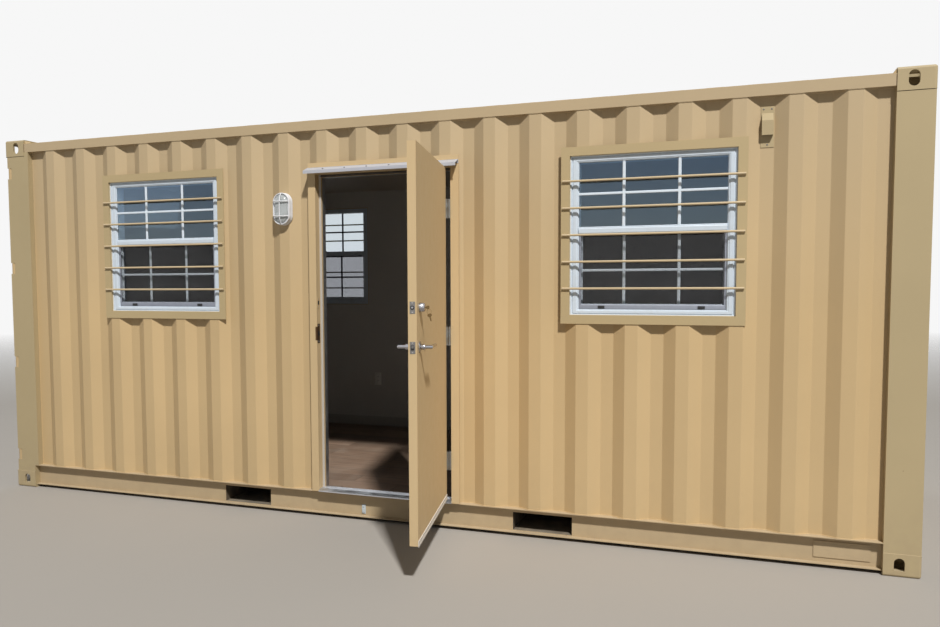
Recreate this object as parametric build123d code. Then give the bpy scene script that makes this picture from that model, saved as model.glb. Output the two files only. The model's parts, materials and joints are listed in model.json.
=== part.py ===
"""Twenty-foot steel shipping container fitted out as a site office.

The origin is at the plan centre of the container on the ground: +X runs along
the length to the closed end wall, -Y faces the long wall with the personnel
door, and +Z is up. All sizes are in millimetres.
"""

import os

from build123d import *

# Outer size and corner castings
length = 6058.0
width = 2438.0
height = 2591.0
casting_x = 178.0
casting_y = 162.0
casting_z = 118.0
casting_face_wall = 16.0
casting_cap_wall = 28.0
casting_inner_wall = 12.0
casting_round = 14.0
slot_length = 124.5
slot_width = 63.5
slot_from_end = 102.5
slot_from_side = 89.5
side_hole_w = 51.0
end_hole_w = 63.5
face_hole_h = 79.5
arch_drop = 27.0

# Frame steel
steel_inset = 3.0
post_sheet = 6.0
front_post_end = 159.0
rear_recess = 14.0
rear_post_side = 198.0
rear_post_lip = 36.0
rear_step = 37.0
rear_post_end = 86.0
top_rail_size = 60.0
top_rail_wall = 3.0
top_rail_drop = 31.0
bottom_rail_base = 22.0
bottom_rail_h = 150.0
bottom_rail_sheet = 4.5
top_lip_w = 48.0
bottom_lip_w = 36.0
rail_plate_from_end = 505.0
rail_plate_w = 275.0
rail_plate_h = 88.0
rail_plate_t = 5.0
end_rail_w = 60.0
end_rail_wall = 3.0
rear_header_h = 113.0
rear_sill_h = 145.0

# Corrugated walls
sheet = 2.0
crest_inset = 4.0
side_crest = 72.0
side_slope = 68.0
side_trough = 70.0
side_depth = 36.0
first_trough_in = 99.0
end_crest = 110.0
end_slope = 18.0
end_trough = 104.0
end_depth = 45.0
end_crest_inset = 6.0

# Roof
roof_sheet = 2.0
roof_pitch = 209.0
roof_rib = 91.0
roof_slope = 14.0
roof_depth = 20.0
roof_side_flat = 75.0
roof_gap = 2.0
gusset_len = 17.0
gusset_h = 23.0
gusset_w = 50.0
gusset_in = 6.0

# Base and floor
member_count = 18
member_w = 45.0
member_sheet = 4.0
member_h = 122.0
pocket_spacing = 2050.0
pocket_centre_x = 14.0
pocket_w = 360.0
pocket_plate = 4.0
deck_t = 28.0
covering_t = 3.0

# Lining
lining_t = 12.0
lining_cavity = 57.0
end_cavity = 40.0
ceiling_drop = 160.0
baseboard_h = 90.0
baseboard_t = 10.0
outlet_w = 70.0
outlet_h = 118.0
outlet_t = 6.0
outlet_x = -1083.0
outlet_rise = 450.0

# Windows
window_size = 906.0
window_left_in = 1219.0
window_right_in = 1194.0
surround_lift = 2.0
surround_w = 50.0
surround_t = 5.0
frame_recess = 16.0
frame_depth = 80.0
frame_stile = 50.0
frame_head = 38.0
frame_sill = 33.0
meeting_rise = 31.0
meeting_h = 40.0
sash_stile = 18.0
sash_rail = 32.0
sash_depth = 26.0
sash_setback = 30.0
glass_t = 4.0
glass_setback = 12.0
bar_r = 6.5
bar_count = 5
bar_pitch = 152.6
bar_lowest_drop = 301.0
bar_overlap = 41.0

# Personnel door frame
door_mid_x = 24.0
opening_w = 916.0
head_drop = 278.0
jamb_face = 52.0
head_face = 70.0
frame_sheet = 3.0
frame_proud = 6.0
rabbet = 50.0
stop = 16.0
stop_back = 16.0
jamb_lip = 15.0
stud_w = 50.0
stud_wall = 3.0
threshold_h = 18.0
threshold_depth = 112.0
threshold_nose = 10.0
threshold_lip = 7.0
threshold_ramp = 22.0
cap_reach = 61.0
cap_drop = 3.0
cap_lip_h = 19.0
cap_rise = 26.0
cap_flange_h = 24.0
cap_sheet = 2.0

# Personnel door leaf
leaf_gap = 5.0
leaf_t = 44.5
leaf_bevel = 2.3
leaf_floor_gap = 18.0
leaf_head_gap = 8.5
sweep_h = 32.0
sweep_t = 4.0
sweep_drop = 6.0
door_open_deg = 100.7
hinge_r = 7.0
hinge_axis_out = 19.0
hinge_h = 114.0
hinge_plate_w = 54.0
hinge_plate_t = 2.0
hinge_pin_r = 3.0
hinge_play = 0.4
hinge_knuckles = 5
hinge_from_foot = 233.0
hinge_from_head = 243.5
lever_rise = 996.0
bolt_rise = 198.0
backset = 70.0
rose_r = 30.0
rose_t = 9.0
spindle_r = 8.0
spindle_play = 0.5
lever_stand = 60.0
lever_r = 9.5
lever_len = 112.0
lever_gap = 1.0
collar_r = 14.5
collar_end = 24.0
cylinder_r = 21.0
cylinder_t = 22.0
turn_t = 12.0
faceplate_w = 26.0
faceplate_h = 57.0
faceplate_t = 2.0

# Cargo doors
cargo_gap = 12.0
cargo_frame = 100.0
cargo_t = 50.0
cargo_panel_inset = 4.0
cargo_panel_depth = 36.0
cargo_troughs = 5
seal_t = 18.0
seal_inset = 6.0
lock_bar_r = 17.0
lock_bar_stand = 24.0
lock_bar_inset = 250.0
lock_bar_overrun = 70.0
bracket_w = 80.0
bracket_h = 60.0
bracket_count = 5
keeper_w = 90.0
keeper_h = 50.0
handle_rise = 983.0
handle_len = 290.0
handle_h = 30.0
handle_t = 10.0
cargo_hinge_h = 80.0
cargo_hinge_r = 16.0
cargo_blade_t = 12.0
cargo_blade_w = 190.0
cargo_hinge_from_sill = 79.0
cargo_hinge_from_header = 97.0
cargo_hinge_count = 4
catch_w = 40.0

# Fittings on the near wall
light_clear = 20.0
light_drop = 214.0
light_w = 124.0
light_h = 209.0
light_base_t = 36.0
lens_margin = 14.0
lens_rim = 3.0
lens_crown = 14.0
lens_taper = 55.0
guard_bar = 8.0
guard_in = 2.0
guard_rise = 47.0
guard_shoulder = 22.0
guard_crown = 20.0
vent_clear = 10.0
vent_drop = 157.0
vent_w = 66.0
vent_h = 214.0
vent_plate_t = 3.0
hood_w = 56.0
hood_h = 118.0
hood_slope = 42.0
hood_reach = 30.0
hood_lift = 61.0
hood_sheet = 3.0

# Places that follow from the sizes above
end_x = length / 2
side_y = width / 2
steel_x = end_x - steel_inset
steel_y = side_y - steel_inset
inner_x = end_x - casting_x
inner_y = side_y - casting_y
top_casting_z = height - casting_z
top_rail_top = height - top_rail_drop
crest_y = steel_y - crest_inset
trough_y = crest_y - side_depth
skin_back_y = trough_y - sheet
stud_y = skin_back_y - lining_cavity
room_y = stud_y - lining_t
side_pitch = side_crest + side_trough + 2 * side_slope
first_trough_x = first_trough_in - inner_x
side_troughs = int((inner_x - first_trough_x) // side_pitch) + 1
deck_top = bottom_rail_base + bottom_rail_h
deck_base = deck_top - deck_t
floor_z = deck_top + covering_t
web_y = steel_y - top_lip_w
top_rail_base = top_rail_top - top_rail_size
ceiling_z = top_rail_top - ceiling_drop
head_z = top_rail_base - head_drop
rear_edge_x = end_x - rear_recess
rear_plane_x = rear_edge_x - rear_step
cargo_back_x = rear_plane_x - cargo_t
header_base = top_rail_top - rear_header_h
rear_sill_top = bottom_rail_base + rear_sill_h
cargo_edge_y = steel_y - rear_post_end
end_crest_x = end_x - end_crest_inset
end_skin_back = end_crest_x - end_depth - sheet
room_front_x = end_skin_back - end_cavity - lining_t
room_rear_x = -(cargo_back_x - end_cavity - lining_t)
window_left_x = window_left_in - inner_x
window_right_x = inner_x - window_right_in
window_half = window_size / 2
window_mid_z = head_z + head_face + surround_lift - surround_w - window_half
meeting_z = window_mid_z + meeting_rise
bar_lowest_z = window_mid_z - bar_lowest_drop
frame_y = -(steel_y + frame_proud)
stop_y = frame_y + rabbet
frame_back_y = stop_y + stop_back
left_rabbet_x = door_mid_x - opening_w / 2
right_rabbet_x = door_mid_x + opening_w / 2
outer_left_x = left_rabbet_x - jamb_face
outer_right_x = right_rabbet_x + jamb_face
cut_left_x = left_rabbet_x - frame_sheet
cut_right_x = right_rabbet_x + frame_sheet
cut_top_z = head_z + frame_sheet
leaf_left_x = left_rabbet_x + leaf_gap
leaf_right_x = right_rabbet_x - leaf_gap
leaf_base_z = deck_top + threshold_h + leaf_floor_gap
leaf_top_z = head_z - leaf_head_gap
leaf_back_y = frame_y + leaf_t
hinge_x = right_rabbet_x - leaf_gap / 2
hinge_y = frame_y - hinge_axis_out
lever_x = leaf_left_x + backset
lever_z = leaf_base_z + lever_rise
bolt_z = lever_z + bolt_rise
low_hinge_z = leaf_base_z + hinge_from_foot
high_hinge_z = leaf_top_z - hinge_from_head
hinge_zs = (low_hinge_z, (low_hinge_z + high_hinge_z) / 2, high_hinge_z)
cargo_hinge_low_z = rear_sill_top + cargo_hinge_from_sill
cargo_hinge_rise = header_base - cargo_hinge_from_header - cargo_hinge_low_z
cargo_hinge_zs = [
    cargo_hinge_low_z + i * cargo_hinge_rise / (cargo_hinge_count - 1) for i in range(cargo_hinge_count)
]
first_crest_x = first_trough_x + side_pitch / 2
light_limit_x = outer_left_x - light_clear - light_w / 2
light_x = first_crest_x + (light_limit_x - first_crest_x) // side_pitch * side_pitch
light_z = head_z - light_drop
vent_limit_x = window_right_x + window_half + surround_w + vent_clear + vent_w / 2
vent_x = first_trough_x - (first_trough_x - vent_limit_x) // side_pitch * side_pitch
vent_z = top_rail_base - vent_drop

os.makedirs("parts", exist_ok=True)


def block(x, y, z):
    """Box between three pairs of limits."""
    size = (x[1] - x[0], y[1] - y[0], z[1] - z[0])
    middle = ((x[0] + x[1]) / 2, (y[0] + y[1]) / 2, (z[0] + z[1]) / 2)
    return Pos(*middle) * Box(*size)


def strip(line, t):
    """Outline of a bent sheet: a line of points and its offset to the left."""
    runs = [(b[0] - a[0], b[1] - a[1]) for a, b in zip(line, line[1:])]
    lefts = [(-v / (u * u + v * v) ** 0.5, u / (u * u + v * v) ** 0.5) for u, v in runs]
    back = []
    for i, point in enumerate(line):
        a = lefts[max(i - 1, 0)]
        b = lefts[min(i, len(lefts) - 1)]
        reach = t / (1 + a[0] * b[0] + a[1] * b[1])
        back.append((point[0] + (a[0] + b[0]) * reach, point[1] + (a[1] + b[1]) * reach))
    return list(line) + back[::-1]


def upright(outline, z):
    """Plan outline (x, y) raised between two levels."""
    face = Plane.XY.offset(z[0]) * Polygon(*outline, align=None)
    return extrude(face, z[1] - z[0], dir=(0, 0, 1))


def lengthwise(outline, x):
    """Section (y, z) drawn out between two places along the length."""
    plane = Plane(origin=(x[0], 0, 0), x_dir=(0, 1, 0), z_dir=(1, 0, 0))
    return extrude(plane * Polygon(*outline, align=None), x[1] - x[0], dir=(1, 0, 0))


def crosswise(outline, y):
    """Section (x, z) drawn out between two places across the width."""
    plane = Plane(origin=(0, y[0], 0), x_dir=(1, 0, 0), z_dir=(0, -1, 0))
    return extrude(plane * Polygon(*outline, align=None), y[1] - y[0], dir=(0, 1, 0))


def rod(start, end, radius):
    """Round bar between two points."""
    path = Vector(*end) - Vector(*start)
    return extrude(Plane(origin=start, z_dir=path) * Circle(radius), path.length)


def oval(x, y, z, tall, wide, reach, taper=0.0):
    """Upright slot-shaped plate on the near wall, reaching out to -Y."""
    plane = Plane(origin=(x, y, z), x_dir=(0, 0, 1), z_dir=(0, -1, 0))
    return extrude(plane * SlotOverall(tall, wide), reach, taper=taper)


def box_tube(x, y, z, t, along):
    """Rectangular tube between limits, open at both ends of one axis."""
    inner = [x, y, z]
    for axis in range(3):
        if axis != along:
            low, high = inner[axis]
            inner[axis] = (low + t, high - t)
    return block(x, y, z) - block(*inner)


def far_side(piece):
    """The same piece on the other long side."""
    return mirror(piece, Plane.XZ)


def other_end(piece):
    """The same piece at the other end."""
    return mirror(piece, Plane.YZ)


def both_sides(pieces):
    """Pieces of the near side with their twins on the far side."""
    return pieces + [far_side(piece) for piece in pieces]


def save(name, pieces):
    """Write one named sub-part as separate solids."""
    solids = [solid for piece in pieces for solid in piece.solids()]
    export_step(Compound(children=solids), f"parts/{name}.step")


# Corner castings


def casting(side_hole):
    """Hollow bottom casting at +X, -Y with its slot, end hole and a given side hole."""
    y0 = -side_y
    wall = casting_face_wall
    body = block((inner_x, end_x), (y0, y0 + casting_y), (0, casting_z))
    corner = Vector(end_x, y0, 0)
    outer_edges = [edge for edge in body.edges() if edge.distance_to(corner) < casting_round]
    body = fillet(outer_edges, casting_round)
    body -= block(
        (inner_x + casting_inner_wall, end_x - wall),
        (y0 + wall, y0 + casting_y - casting_inner_wall),
        (casting_cap_wall, casting_z - casting_inner_wall),
    )
    slot_x = end_x - slot_from_end
    slot_y = y0 + slot_from_side
    slot = Pos(slot_x, slot_y) * SlotOverall(slot_length, slot_width)
    side = Plane(origin=(slot_x, y0, casting_z / 2), x_dir=(0, 0, 1), z_dir=(0, 1, 0))
    end = Plane(origin=(end_x, slot_y, casting_z / 2), x_dir=(0, 0, 1), z_dir=(-1, 0, 0))
    body -= extrude(slot, casting_cap_wall)
    body -= extrude(side * side_hole, wall)
    return body - extrude(end * SlotOverall(face_hole_h, end_hole_w), wall)


def four_corners(piece):
    """A corner piece at all four corners."""
    return both_sides([piece, other_end(piece)])


full_slot = SlotOverall(face_hole_h, side_hole_w)
arch_h = face_hole_h / 2 + arch_drop
flat_foot_arch = full_slot & Pos((face_hole_h / 2 - arch_drop) / 2, 0) * Rectangle(arch_h, side_hole_w)
bottom_casting = casting(flat_foot_arch)
top_casting = Pos(0, 0, height) * mirror(casting(full_slot), Plane.XY)
save("bottom_corner_castings", four_corners(bottom_casting))
save("top_corner_castings", four_corners(top_casting))

# Corner posts


def front_post():
    """Pressed angle between the castings at the closed end."""
    y0 = -steel_y
    line = [
        (inner_x, -skin_back_y),
        (inner_x, y0),
        (steel_x, y0),
        (steel_x, y0 + front_post_end),
        (end_skin_back, y0 + front_post_end),
    ]
    return upright(strip(line, post_sheet), (casting_z, top_casting_z))


def rear_post():
    """Pressed post of the door end: side face, corner lip and stepped door face."""
    y0 = -steel_y
    side_x = rear_edge_x - rear_post_side
    line = [
        (side_x, -skin_back_y),
        (side_x, y0),
        (rear_edge_x, y0),
        (rear_edge_x, y0 + rear_post_lip),
        (rear_plane_x, y0 + rear_post_lip),
        (rear_plane_x, y0 + rear_post_end),
        (cargo_back_x, y0 + rear_post_end),
    ]
    post = upright(strip(line, post_sheet), (casting_z, top_rail_base))
    post -= block((inner_x, end_x), (-side_y, 0), (top_casting_z, height))
    post -= block((0, inner_x), (-side_y, 0), (casting_z, deck_top))
    post += block((inner_x, inner_x + post_sheet), (y0, -web_y), (casting_z, deck_top))
    for z in cargo_hinge_zs:
        post -= block(
            (rear_plane_x, end_x),
            (-side_y, y0 + rear_post_lip),
            (z - cargo_hinge_h / 2, z + cargo_hinge_h / 2),
        )
    return other_end(post)


save("front_corner_posts", both_sides([front_post()]))
save("rear_corner_posts", both_sides([rear_post()]))

# Rails


def top_rail():
    """Square tube along the top of the near wall."""
    return box_tube(
        (-inner_x, inner_x),
        (-steel_y, -steel_y + top_rail_size),
        (top_rail_base, top_rail_top),
        top_rail_wall,
        0,
    )


pocket_xs = [pocket_centre_x - pocket_spacing / 2, pocket_centre_x + pocket_spacing / 2]
pocket_base = bottom_rail_base + bottom_rail_sheet + pocket_plate
pocket_top = deck_base - pocket_plate


def bottom_rail():
    """Channel with both lips turned outwards, cut for the fork pockets."""
    line = [
        (-steel_y, deck_top),
        (-web_y, deck_top),
        (-web_y, bottom_rail_base),
        (-web_y - bottom_lip_w, bottom_rail_base),
    ]
    rail = lengthwise(strip(line, -bottom_rail_sheet), (-inner_x, inner_x))
    for x in pocket_xs:
        rail -= block(
            (x - pocket_w / 2, x + pocket_w / 2),
            (-web_y - bottom_rail_sheet, -web_y),
            (pocket_base, pocket_top),
        )
    middle_z = bottom_rail_base + bottom_rail_h / 2
    plate_face = -web_y - bottom_rail_sheet
    plate_x = end_x - rail_plate_from_end
    plate = block(
        (plate_x, plate_x + rail_plate_w),
        (plate_face - rail_plate_t, plate_face),
        (middle_z - rail_plate_h / 2, middle_z + rail_plate_h / 2),
    )
    return rail + plate


def front_end_rail(z):
    """Square tube between the corners of the closed end."""
    return box_tube((steel_x - end_rail_w, steel_x), (-inner_y, inner_y), z, end_rail_wall, 1)


lock_bar_y = (-cargo_edge_y + cargo_gap + lock_bar_inset, -cargo_gap / 2 - lock_bar_inset)
bar_x = rear_plane_x + lock_bar_stand


def cam_keepers(z):
    """Cheeks that hold the ends of the four lock bars on an end rail."""
    cheeks = []
    for y in lock_bar_y:
        outer = block((rear_plane_x, bar_x), (y - keeper_w / 2, y + keeper_w / 2), z)
        cheeks.append(outer - block((rear_plane_x, bar_x), (y - lock_bar_r, y + lock_bar_r), z))
    return both_sides(cheeks)


def cargo_end_rail(z, between_posts, keeper_z):
    """Box rail of the door end, wider where it passes between the posts."""
    x = (rear_plane_x - end_rail_w, rear_plane_x)
    t = end_rail_wall
    rail = block(x, (-inner_y, inner_y), z)
    rail += block(x, (-cargo_edge_y, cargo_edge_y), between_posts)
    rail -= block((x[0] + t, x[1] - t), (-inner_y, inner_y), (z[0] + t, z[1] - t))
    for cheek in cam_keepers(keeper_z):
        rail += cheek
    return other_end(rail)


save("top_side_rails", both_sides([top_rail()]))
save("bottom_side_rails", both_sides([bottom_rail()]))
front_sill = front_end_rail((bottom_rail_base, deck_top))
front_header = front_end_rail((top_rail_base, top_rail_top))
save("front_end_rails", [front_sill, front_header])
header_keeper_z = (header_base, header_base + keeper_h)
sill_keeper_z = (rear_sill_top - keeper_h, rear_sill_top)
cargo_header = cargo_end_rail(
    (header_base, top_rail_top), (header_base, top_casting_z), header_keeper_z
)
cargo_sill = cargo_end_rail(
    (bottom_rail_base, rear_sill_top), (casting_z, rear_sill_top), sill_keeper_z
)
save("cargo_end_rails", [cargo_header, cargo_sill])

# Corrugated walls


def waves(start, end, centres, trough, slope, depth):
    """Places and depths of the bends of a corrugated sheet between two limits."""
    bends = [(start - slope, depth)]
    for a, b in zip(centres, centres[1:]):
        bends += [(a + trough / 2, depth), (a + trough / 2 + slope, 0.0)]
        bends += [(b - trough / 2 - slope, 0.0), (b - trough / 2, depth)]
    bends.append((end + slope, depth))

    def depth_at(place):
        for (p, d), (q, e) in zip(bends, bends[1:]):
            if p <= place <= q:
                return d + (e - d) * (place - p) / (q - p)

    inside = [bend for bend in bends if start < bend[0] < end]
    return [(start, depth_at(start))] + inside + [(end, depth_at(end))]


trough_xs = [first_trough_x + i * side_pitch for i in range(side_troughs)]


def side_sheet(x, z):
    """Corrugated sheet of the near wall between limits, trimmed square at its ends."""
    line = waves(x[0] - sheet, x[1] + sheet, trough_xs, side_trough, side_slope, side_depth)
    body = upright(strip([(place, -crest_y + depth) for place, depth in line], sheet), z)
    return body & block(x, (-steel_y, -skin_back_y), z)


def window_cut(x):
    """Square cut for a window through wall and lining."""
    half = window_half + surround_t
    return block((x - half, x + half), (-side_y, -room_y), (window_mid_z - half, window_mid_z + half))


wall_z = (deck_top, top_rail_base)
wall_x = (-(rear_edge_x - rear_post_side), inner_x)
front_left = side_sheet((wall_x[0], cut_left_x), wall_z)
front_right = side_sheet((cut_right_x, wall_x[1]), wall_z)
back = side_sheet(wall_x, wall_z)
save("front_wall_left", [front_left - window_cut(window_left_x)])
save("front_wall_over_door", [side_sheet((cut_left_x, cut_right_x), (cut_top_z, top_rail_base))])
save("front_wall_right", [front_right - window_cut(window_right_x)])
save("back_wall", [far_side(back - window_cut(window_left_x))])


def end_sheet():
    """Corrugated sheet of the closed end."""
    limit = steel_y - front_post_end
    pitch = end_crest + end_trough + 2 * end_slope
    end_troughs = int(2 * limit // pitch) + 1
    first = -pitch * (end_troughs - 1) / 2
    centres = [first + i * pitch for i in range(end_troughs)]
    line = waves(-limit, limit, centres, end_trough, end_slope, end_depth)
    return upright(strip([(end_crest_x - depth, place) for place, depth in line], sheet), wall_z)


save("end_wall", [end_sheet()])

# Roof


def roof_rib_outline(x, inset):
    """Section of one pressed rib, or of the hollow under it."""
    foot = roof_rib / 2 + roof_slope - inset
    crown = roof_rib / 2 - inset / 2
    high = top_rail_top + roof_depth - inset
    return [(x - foot, top_rail_top), (x + foot, top_rail_top), (x + crown, high), (x - crown, high)]


def roof_gussets():
    """Small wedges against the top castings, over both ends of both rails."""
    x = inner_x - roof_gap
    base = top_rail_top + roof_sheet
    wedge = [(x - gusset_len, base), (x, base), (x, base + gusset_h)]
    outer_y = -steel_y + gusset_in
    return four_corners(crosswise(wedge, (outer_y, outer_y + gusset_w)))


def roof_panel():
    """Sheet over the rails with pressed ribs that stop short of both sides."""
    top = (top_rail_top, top_rail_top + roof_sheet)
    narrow = inner_y - roof_gap
    plate = block((-inner_x + roof_gap, inner_x - roof_gap), (-steel_y, steel_y), top)
    plate += block((-rear_plane_x, steel_x), (-narrow, narrow), top)
    rib_y = steel_y - roof_side_flat
    roof_ribs = int(2 * inner_x // roof_pitch) - 1
    for i in range(roof_ribs):
        x = (i - (roof_ribs - 1) / 2) * roof_pitch
        plate += crosswise(roof_rib_outline(x, 0.0), (-rib_y, rib_y))
        under = (-rib_y + roof_sheet, rib_y - roof_sheet)
        plate -= crosswise(roof_rib_outline(x, roof_sheet), under)
    return plate + roof_gussets()


save("roof_panel", [roof_panel()])

# Base


def cross_member(x):
    """Pressed channel across the base."""
    line = [
        (x + member_w, deck_base - member_h),
        (x, deck_base - member_h),
        (x, deck_base),
        (x + member_w, deck_base),
    ]
    return crosswise(strip(line, -member_sheet), (-web_y, web_y))


def fork_pocket(x):
    """Tunnel right across the base for one fork."""
    half = pocket_w / 2 + pocket_plate
    z = (pocket_base - pocket_plate, pocket_top + pocket_plate)
    return box_tube((x - half, x + half), (-web_y, web_y), z, pocket_plate, 1)


def clear_of_pockets(x):
    """Whether a cross member at x misses both fork pockets."""
    reach = pocket_w / 2 + pocket_plate
    return all(x > p + reach or x + member_w < p - reach for p in pocket_xs)


deck_x = (-(rear_plane_x - end_rail_w), steel_x - end_rail_w)
member_step = (deck_x[1] - deck_x[0]) / (member_count + 1)
member_xs = [deck_x[0] + member_step * (i + 1) - member_w / 2 for i in range(member_count)]
save("cross_members", [cross_member(x) for x in member_xs if clear_of_pockets(x)])
save("fork_pockets", [fork_pocket(x) for x in pocket_xs])
save("floor_deck", [block(deck_x, (-web_y, web_y), (deck_base, deck_top))])

threshold_y = (frame_y - threshold_nose, frame_y - threshold_nose + threshold_depth)
room_x = (room_rear_x, room_front_x)
between_studs = (left_rabbet_x + stop, right_rabbet_x - stop)
covering_z = (deck_top, floor_z)
covering = block(room_x, (-room_y, room_y), covering_z)
covering += block((cut_left_x, cut_right_x), (-stud_y, -room_y), covering_z)
covering += block(between_studs, (threshold_y[1], -stud_y), covering_z)
save("floor_covering", [covering])

# Lining


def lining(x, z):
    """Flat board along the near wall."""
    return block(x, (-stud_y, -room_y), z)


lining_z = (deck_top, ceiling_z)
left_board = lining((room_rear_x, cut_left_x), lining_z) - window_cut(window_left_x)
right_board = lining((cut_right_x, room_front_x), lining_z) - window_cut(window_right_x)
back_board = far_side(lining(room_x, lining_z) - window_cut(window_left_x))
save("lining_front_left", [left_board])
save("lining_over_door", [lining((cut_left_x, cut_right_x), (cut_top_z, ceiling_z))])
save("lining_front_right", [right_board])
save("lining_back", [back_board])
board_y = (-stud_y, stud_y)
rear_board = block((room_rear_x - lining_t, room_rear_x), board_y, lining_z)
front_board = block((room_front_x, room_front_x + lining_t), board_y, lining_z)
save("lining_ends", [rear_board, front_board])
ceiling_x = (room_rear_x - lining_t, room_front_x + lining_t)
save("ceiling", [block(ceiling_x, board_y, (ceiling_z, ceiling_z + lining_t))])

base_z = (floor_z, floor_z + baseboard_h)
near_base_y = (-room_y, -room_y + baseboard_t)
baseboards = [
    block(room_x, (room_y - baseboard_t, room_y), base_z),
    block((room_rear_x, cut_left_x), near_base_y, base_z),
    block((cut_right_x, room_front_x), near_base_y, base_z),
]
save("baseboards", baseboards)
outlet_z = floor_z + outlet_rise
outlet = block(
    (outlet_x - outlet_w / 2, outlet_x + outlet_w / 2),
    (room_y - outlet_t, room_y),
    (outlet_z - outlet_h / 2, outlet_z + outlet_h / 2),
)
save("wall_outlet", [outlet])

# Windows

surround_face_y = -crest_y - surround_t
window_y = (surround_face_y + frame_recess, surround_face_y + frame_recess + frame_depth)
pane_half = window_half - frame_stile
daylight_z = (window_mid_z - window_half + frame_sill, window_mid_z + window_half - frame_head)
meeting_rail_z = (meeting_z - meeting_h / 2, meeting_z + meeting_h / 2)
sash_y = (window_y[0] + sash_setback, window_y[0] + sash_setback + sash_depth)
sash_pane_half = pane_half - sash_stile
sash_pane_z = (daylight_z[0] + sash_rail, meeting_rail_z[0])


def square_ring(x, y, outer_half, inner_half):
    """Square frame about the centre of one window."""
    z = window_mid_z
    outer = block((x - outer_half, x + outer_half), y, (z - outer_half, z + outer_half))
    return outer - block((x - inner_half, x + inner_half), y, (z - inner_half, z + inner_half))


def surround(x):
    """Steel flange on the crests with a liner through wall and lining."""
    flange = square_ring(x, (surround_face_y, -crest_y), window_half + surround_w, window_half)
    liner = square_ring(x, (-crest_y, -room_y), window_half + surround_t, window_half)
    return [flange + liner]


def window_frame(x):
    """Outer frame of a single-hung window with its fixed meeting rail."""
    z = (window_mid_z - window_half, window_mid_z + window_half)
    frame = block((x - window_half, x + window_half), window_y, z)
    frame -= block((x - pane_half, x + pane_half), window_y, daylight_z)
    return [frame + block((x - pane_half, x + pane_half), (window_y[0], sash_y[0]), meeting_rail_z)]


def lower_sash(x):
    """Sliding sash behind the meeting rail."""
    sash = block((x - pane_half, x + pane_half), sash_y, (daylight_z[0], meeting_rail_z[1]))
    return [sash - block((x - sash_pane_half, x + sash_pane_half), sash_y, sash_pane_z)]


def panes(x):
    """Fixed upper glass and the glass of the lower sash."""
    upper_y = window_y[0] + glass_setback
    lower_y = (sash_y[0] + sash_y[1] - glass_t) / 2
    upper_z = (meeting_rail_z[1], daylight_z[1])
    upper = block((x - pane_half, x + pane_half), (upper_y, upper_y + glass_t), upper_z)
    lower_x = (x - sash_pane_half, x + sash_pane_half)
    return [upper, block(lower_x, (lower_y, lower_y + glass_t), sash_pane_z)]


def guard_bars(x):
    """Round bars across the face of one surround."""
    y = surround_face_y - bar_r
    half = window_half + bar_overlap
    zs = [bar_lowest_z + i * bar_pitch for i in range(bar_count)]
    return [rod((x - half, y, z), (x + half, y, z), bar_r) for z in zs]


def all_windows(maker):
    """A kind of window piece at both near windows and the back one."""
    return both_sides(maker(window_left_x)) + maker(window_right_x)


save("window_surrounds", all_windows(surround))
save("window_frames", all_windows(window_frame))
save("window_sashes", all_windows(lower_sash))
save("window_glass", all_windows(panes))
save("window_bars", all_windows(guard_bars))

# Personnel door frame


def frame_line(face, lip):
    """Bend line of the frame section: across to the opening, then into the wall."""
    return [
        (0.0, lip),
        (0.0, 0.0),
        (face, 0.0),
        (face, rabbet),
        (face + stop, rabbet),
        (face + stop, rabbet + stop_back),
    ]


def jamb(edge_x, way):
    """Upright of the frame, from its outer edge towards the opening."""
    line = [(edge_x + way * u, frame_y + v) for u, v in frame_line(jamb_face, jamb_lip)]
    body = upright(strip(line, way * frame_sheet), (deck_top, head_z))
    rabbet_x = edge_x + way * jamb_face
    stop_x = sorted((rabbet_x, rabbet_x + way * stop))
    return body - block(stop_x, (stop_y, frame_back_y), (head_z - stop, head_z))


def door_head():
    """Head of the frame, whose lip rests on the wall crests."""
    section = frame_line(head_face, -frame_y - crest_y)
    line = [(frame_y + v, head_z + head_face - u) for u, v in section]
    body = lengthwise(strip(line, frame_sheet), (outer_left_x, outer_right_x))
    for cut_x in ((outer_left_x, cut_left_x), (cut_right_x, outer_right_x)):
        body -= block(cut_x, (-crest_y, frame_back_y), (head_z - stop, head_z + head_face))
    for jamb_x in ((outer_left_x, left_rabbet_x), (right_rabbet_x, outer_right_x)):
        body -= block(jamb_x, (frame_y, frame_back_y), (head_z - stop, head_z))
    return body


def door_studs():
    """Tubes behind the jambs and over the head that carry the frame."""
    y = (frame_back_y, -stud_y)
    inner = between_studs
    outer = (inner[0] - stud_w, inner[1] + stud_w)
    foot = (deck_top, head_z - stop)
    left = box_tube((outer[0], inner[0]), y, foot, stud_wall, 2)
    right = box_tube((inner[1], outer[1]), y, foot, stud_wall, 2)
    over = box_tube(outer, y, (foot[1], foot[1] + stud_w), stud_wall, 0)
    return [left, right, over]


def threshold():
    """Saddle between the jambs, with a nose over the rail and a ramp inside."""
    low = deck_top
    high = deck_top + threshold_h
    outline = [
        (threshold_y[0], low),
        (threshold_y[1], low),
        (threshold_y[1], low + threshold_lip),
        (threshold_y[1] - threshold_ramp, high),
        (frame_y + threshold_ramp, high),
        (threshold_y[0], low + threshold_lip),
    ]
    body = lengthwise(outline, (left_rabbet_x, right_rabbet_x))
    behind = (stop_y, threshold_y[1])
    body -= block((left_rabbet_x, left_rabbet_x + stop), behind, (low, high))
    return body - block((right_rabbet_x - stop, right_rabbet_x), behind, (low, high))


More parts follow.
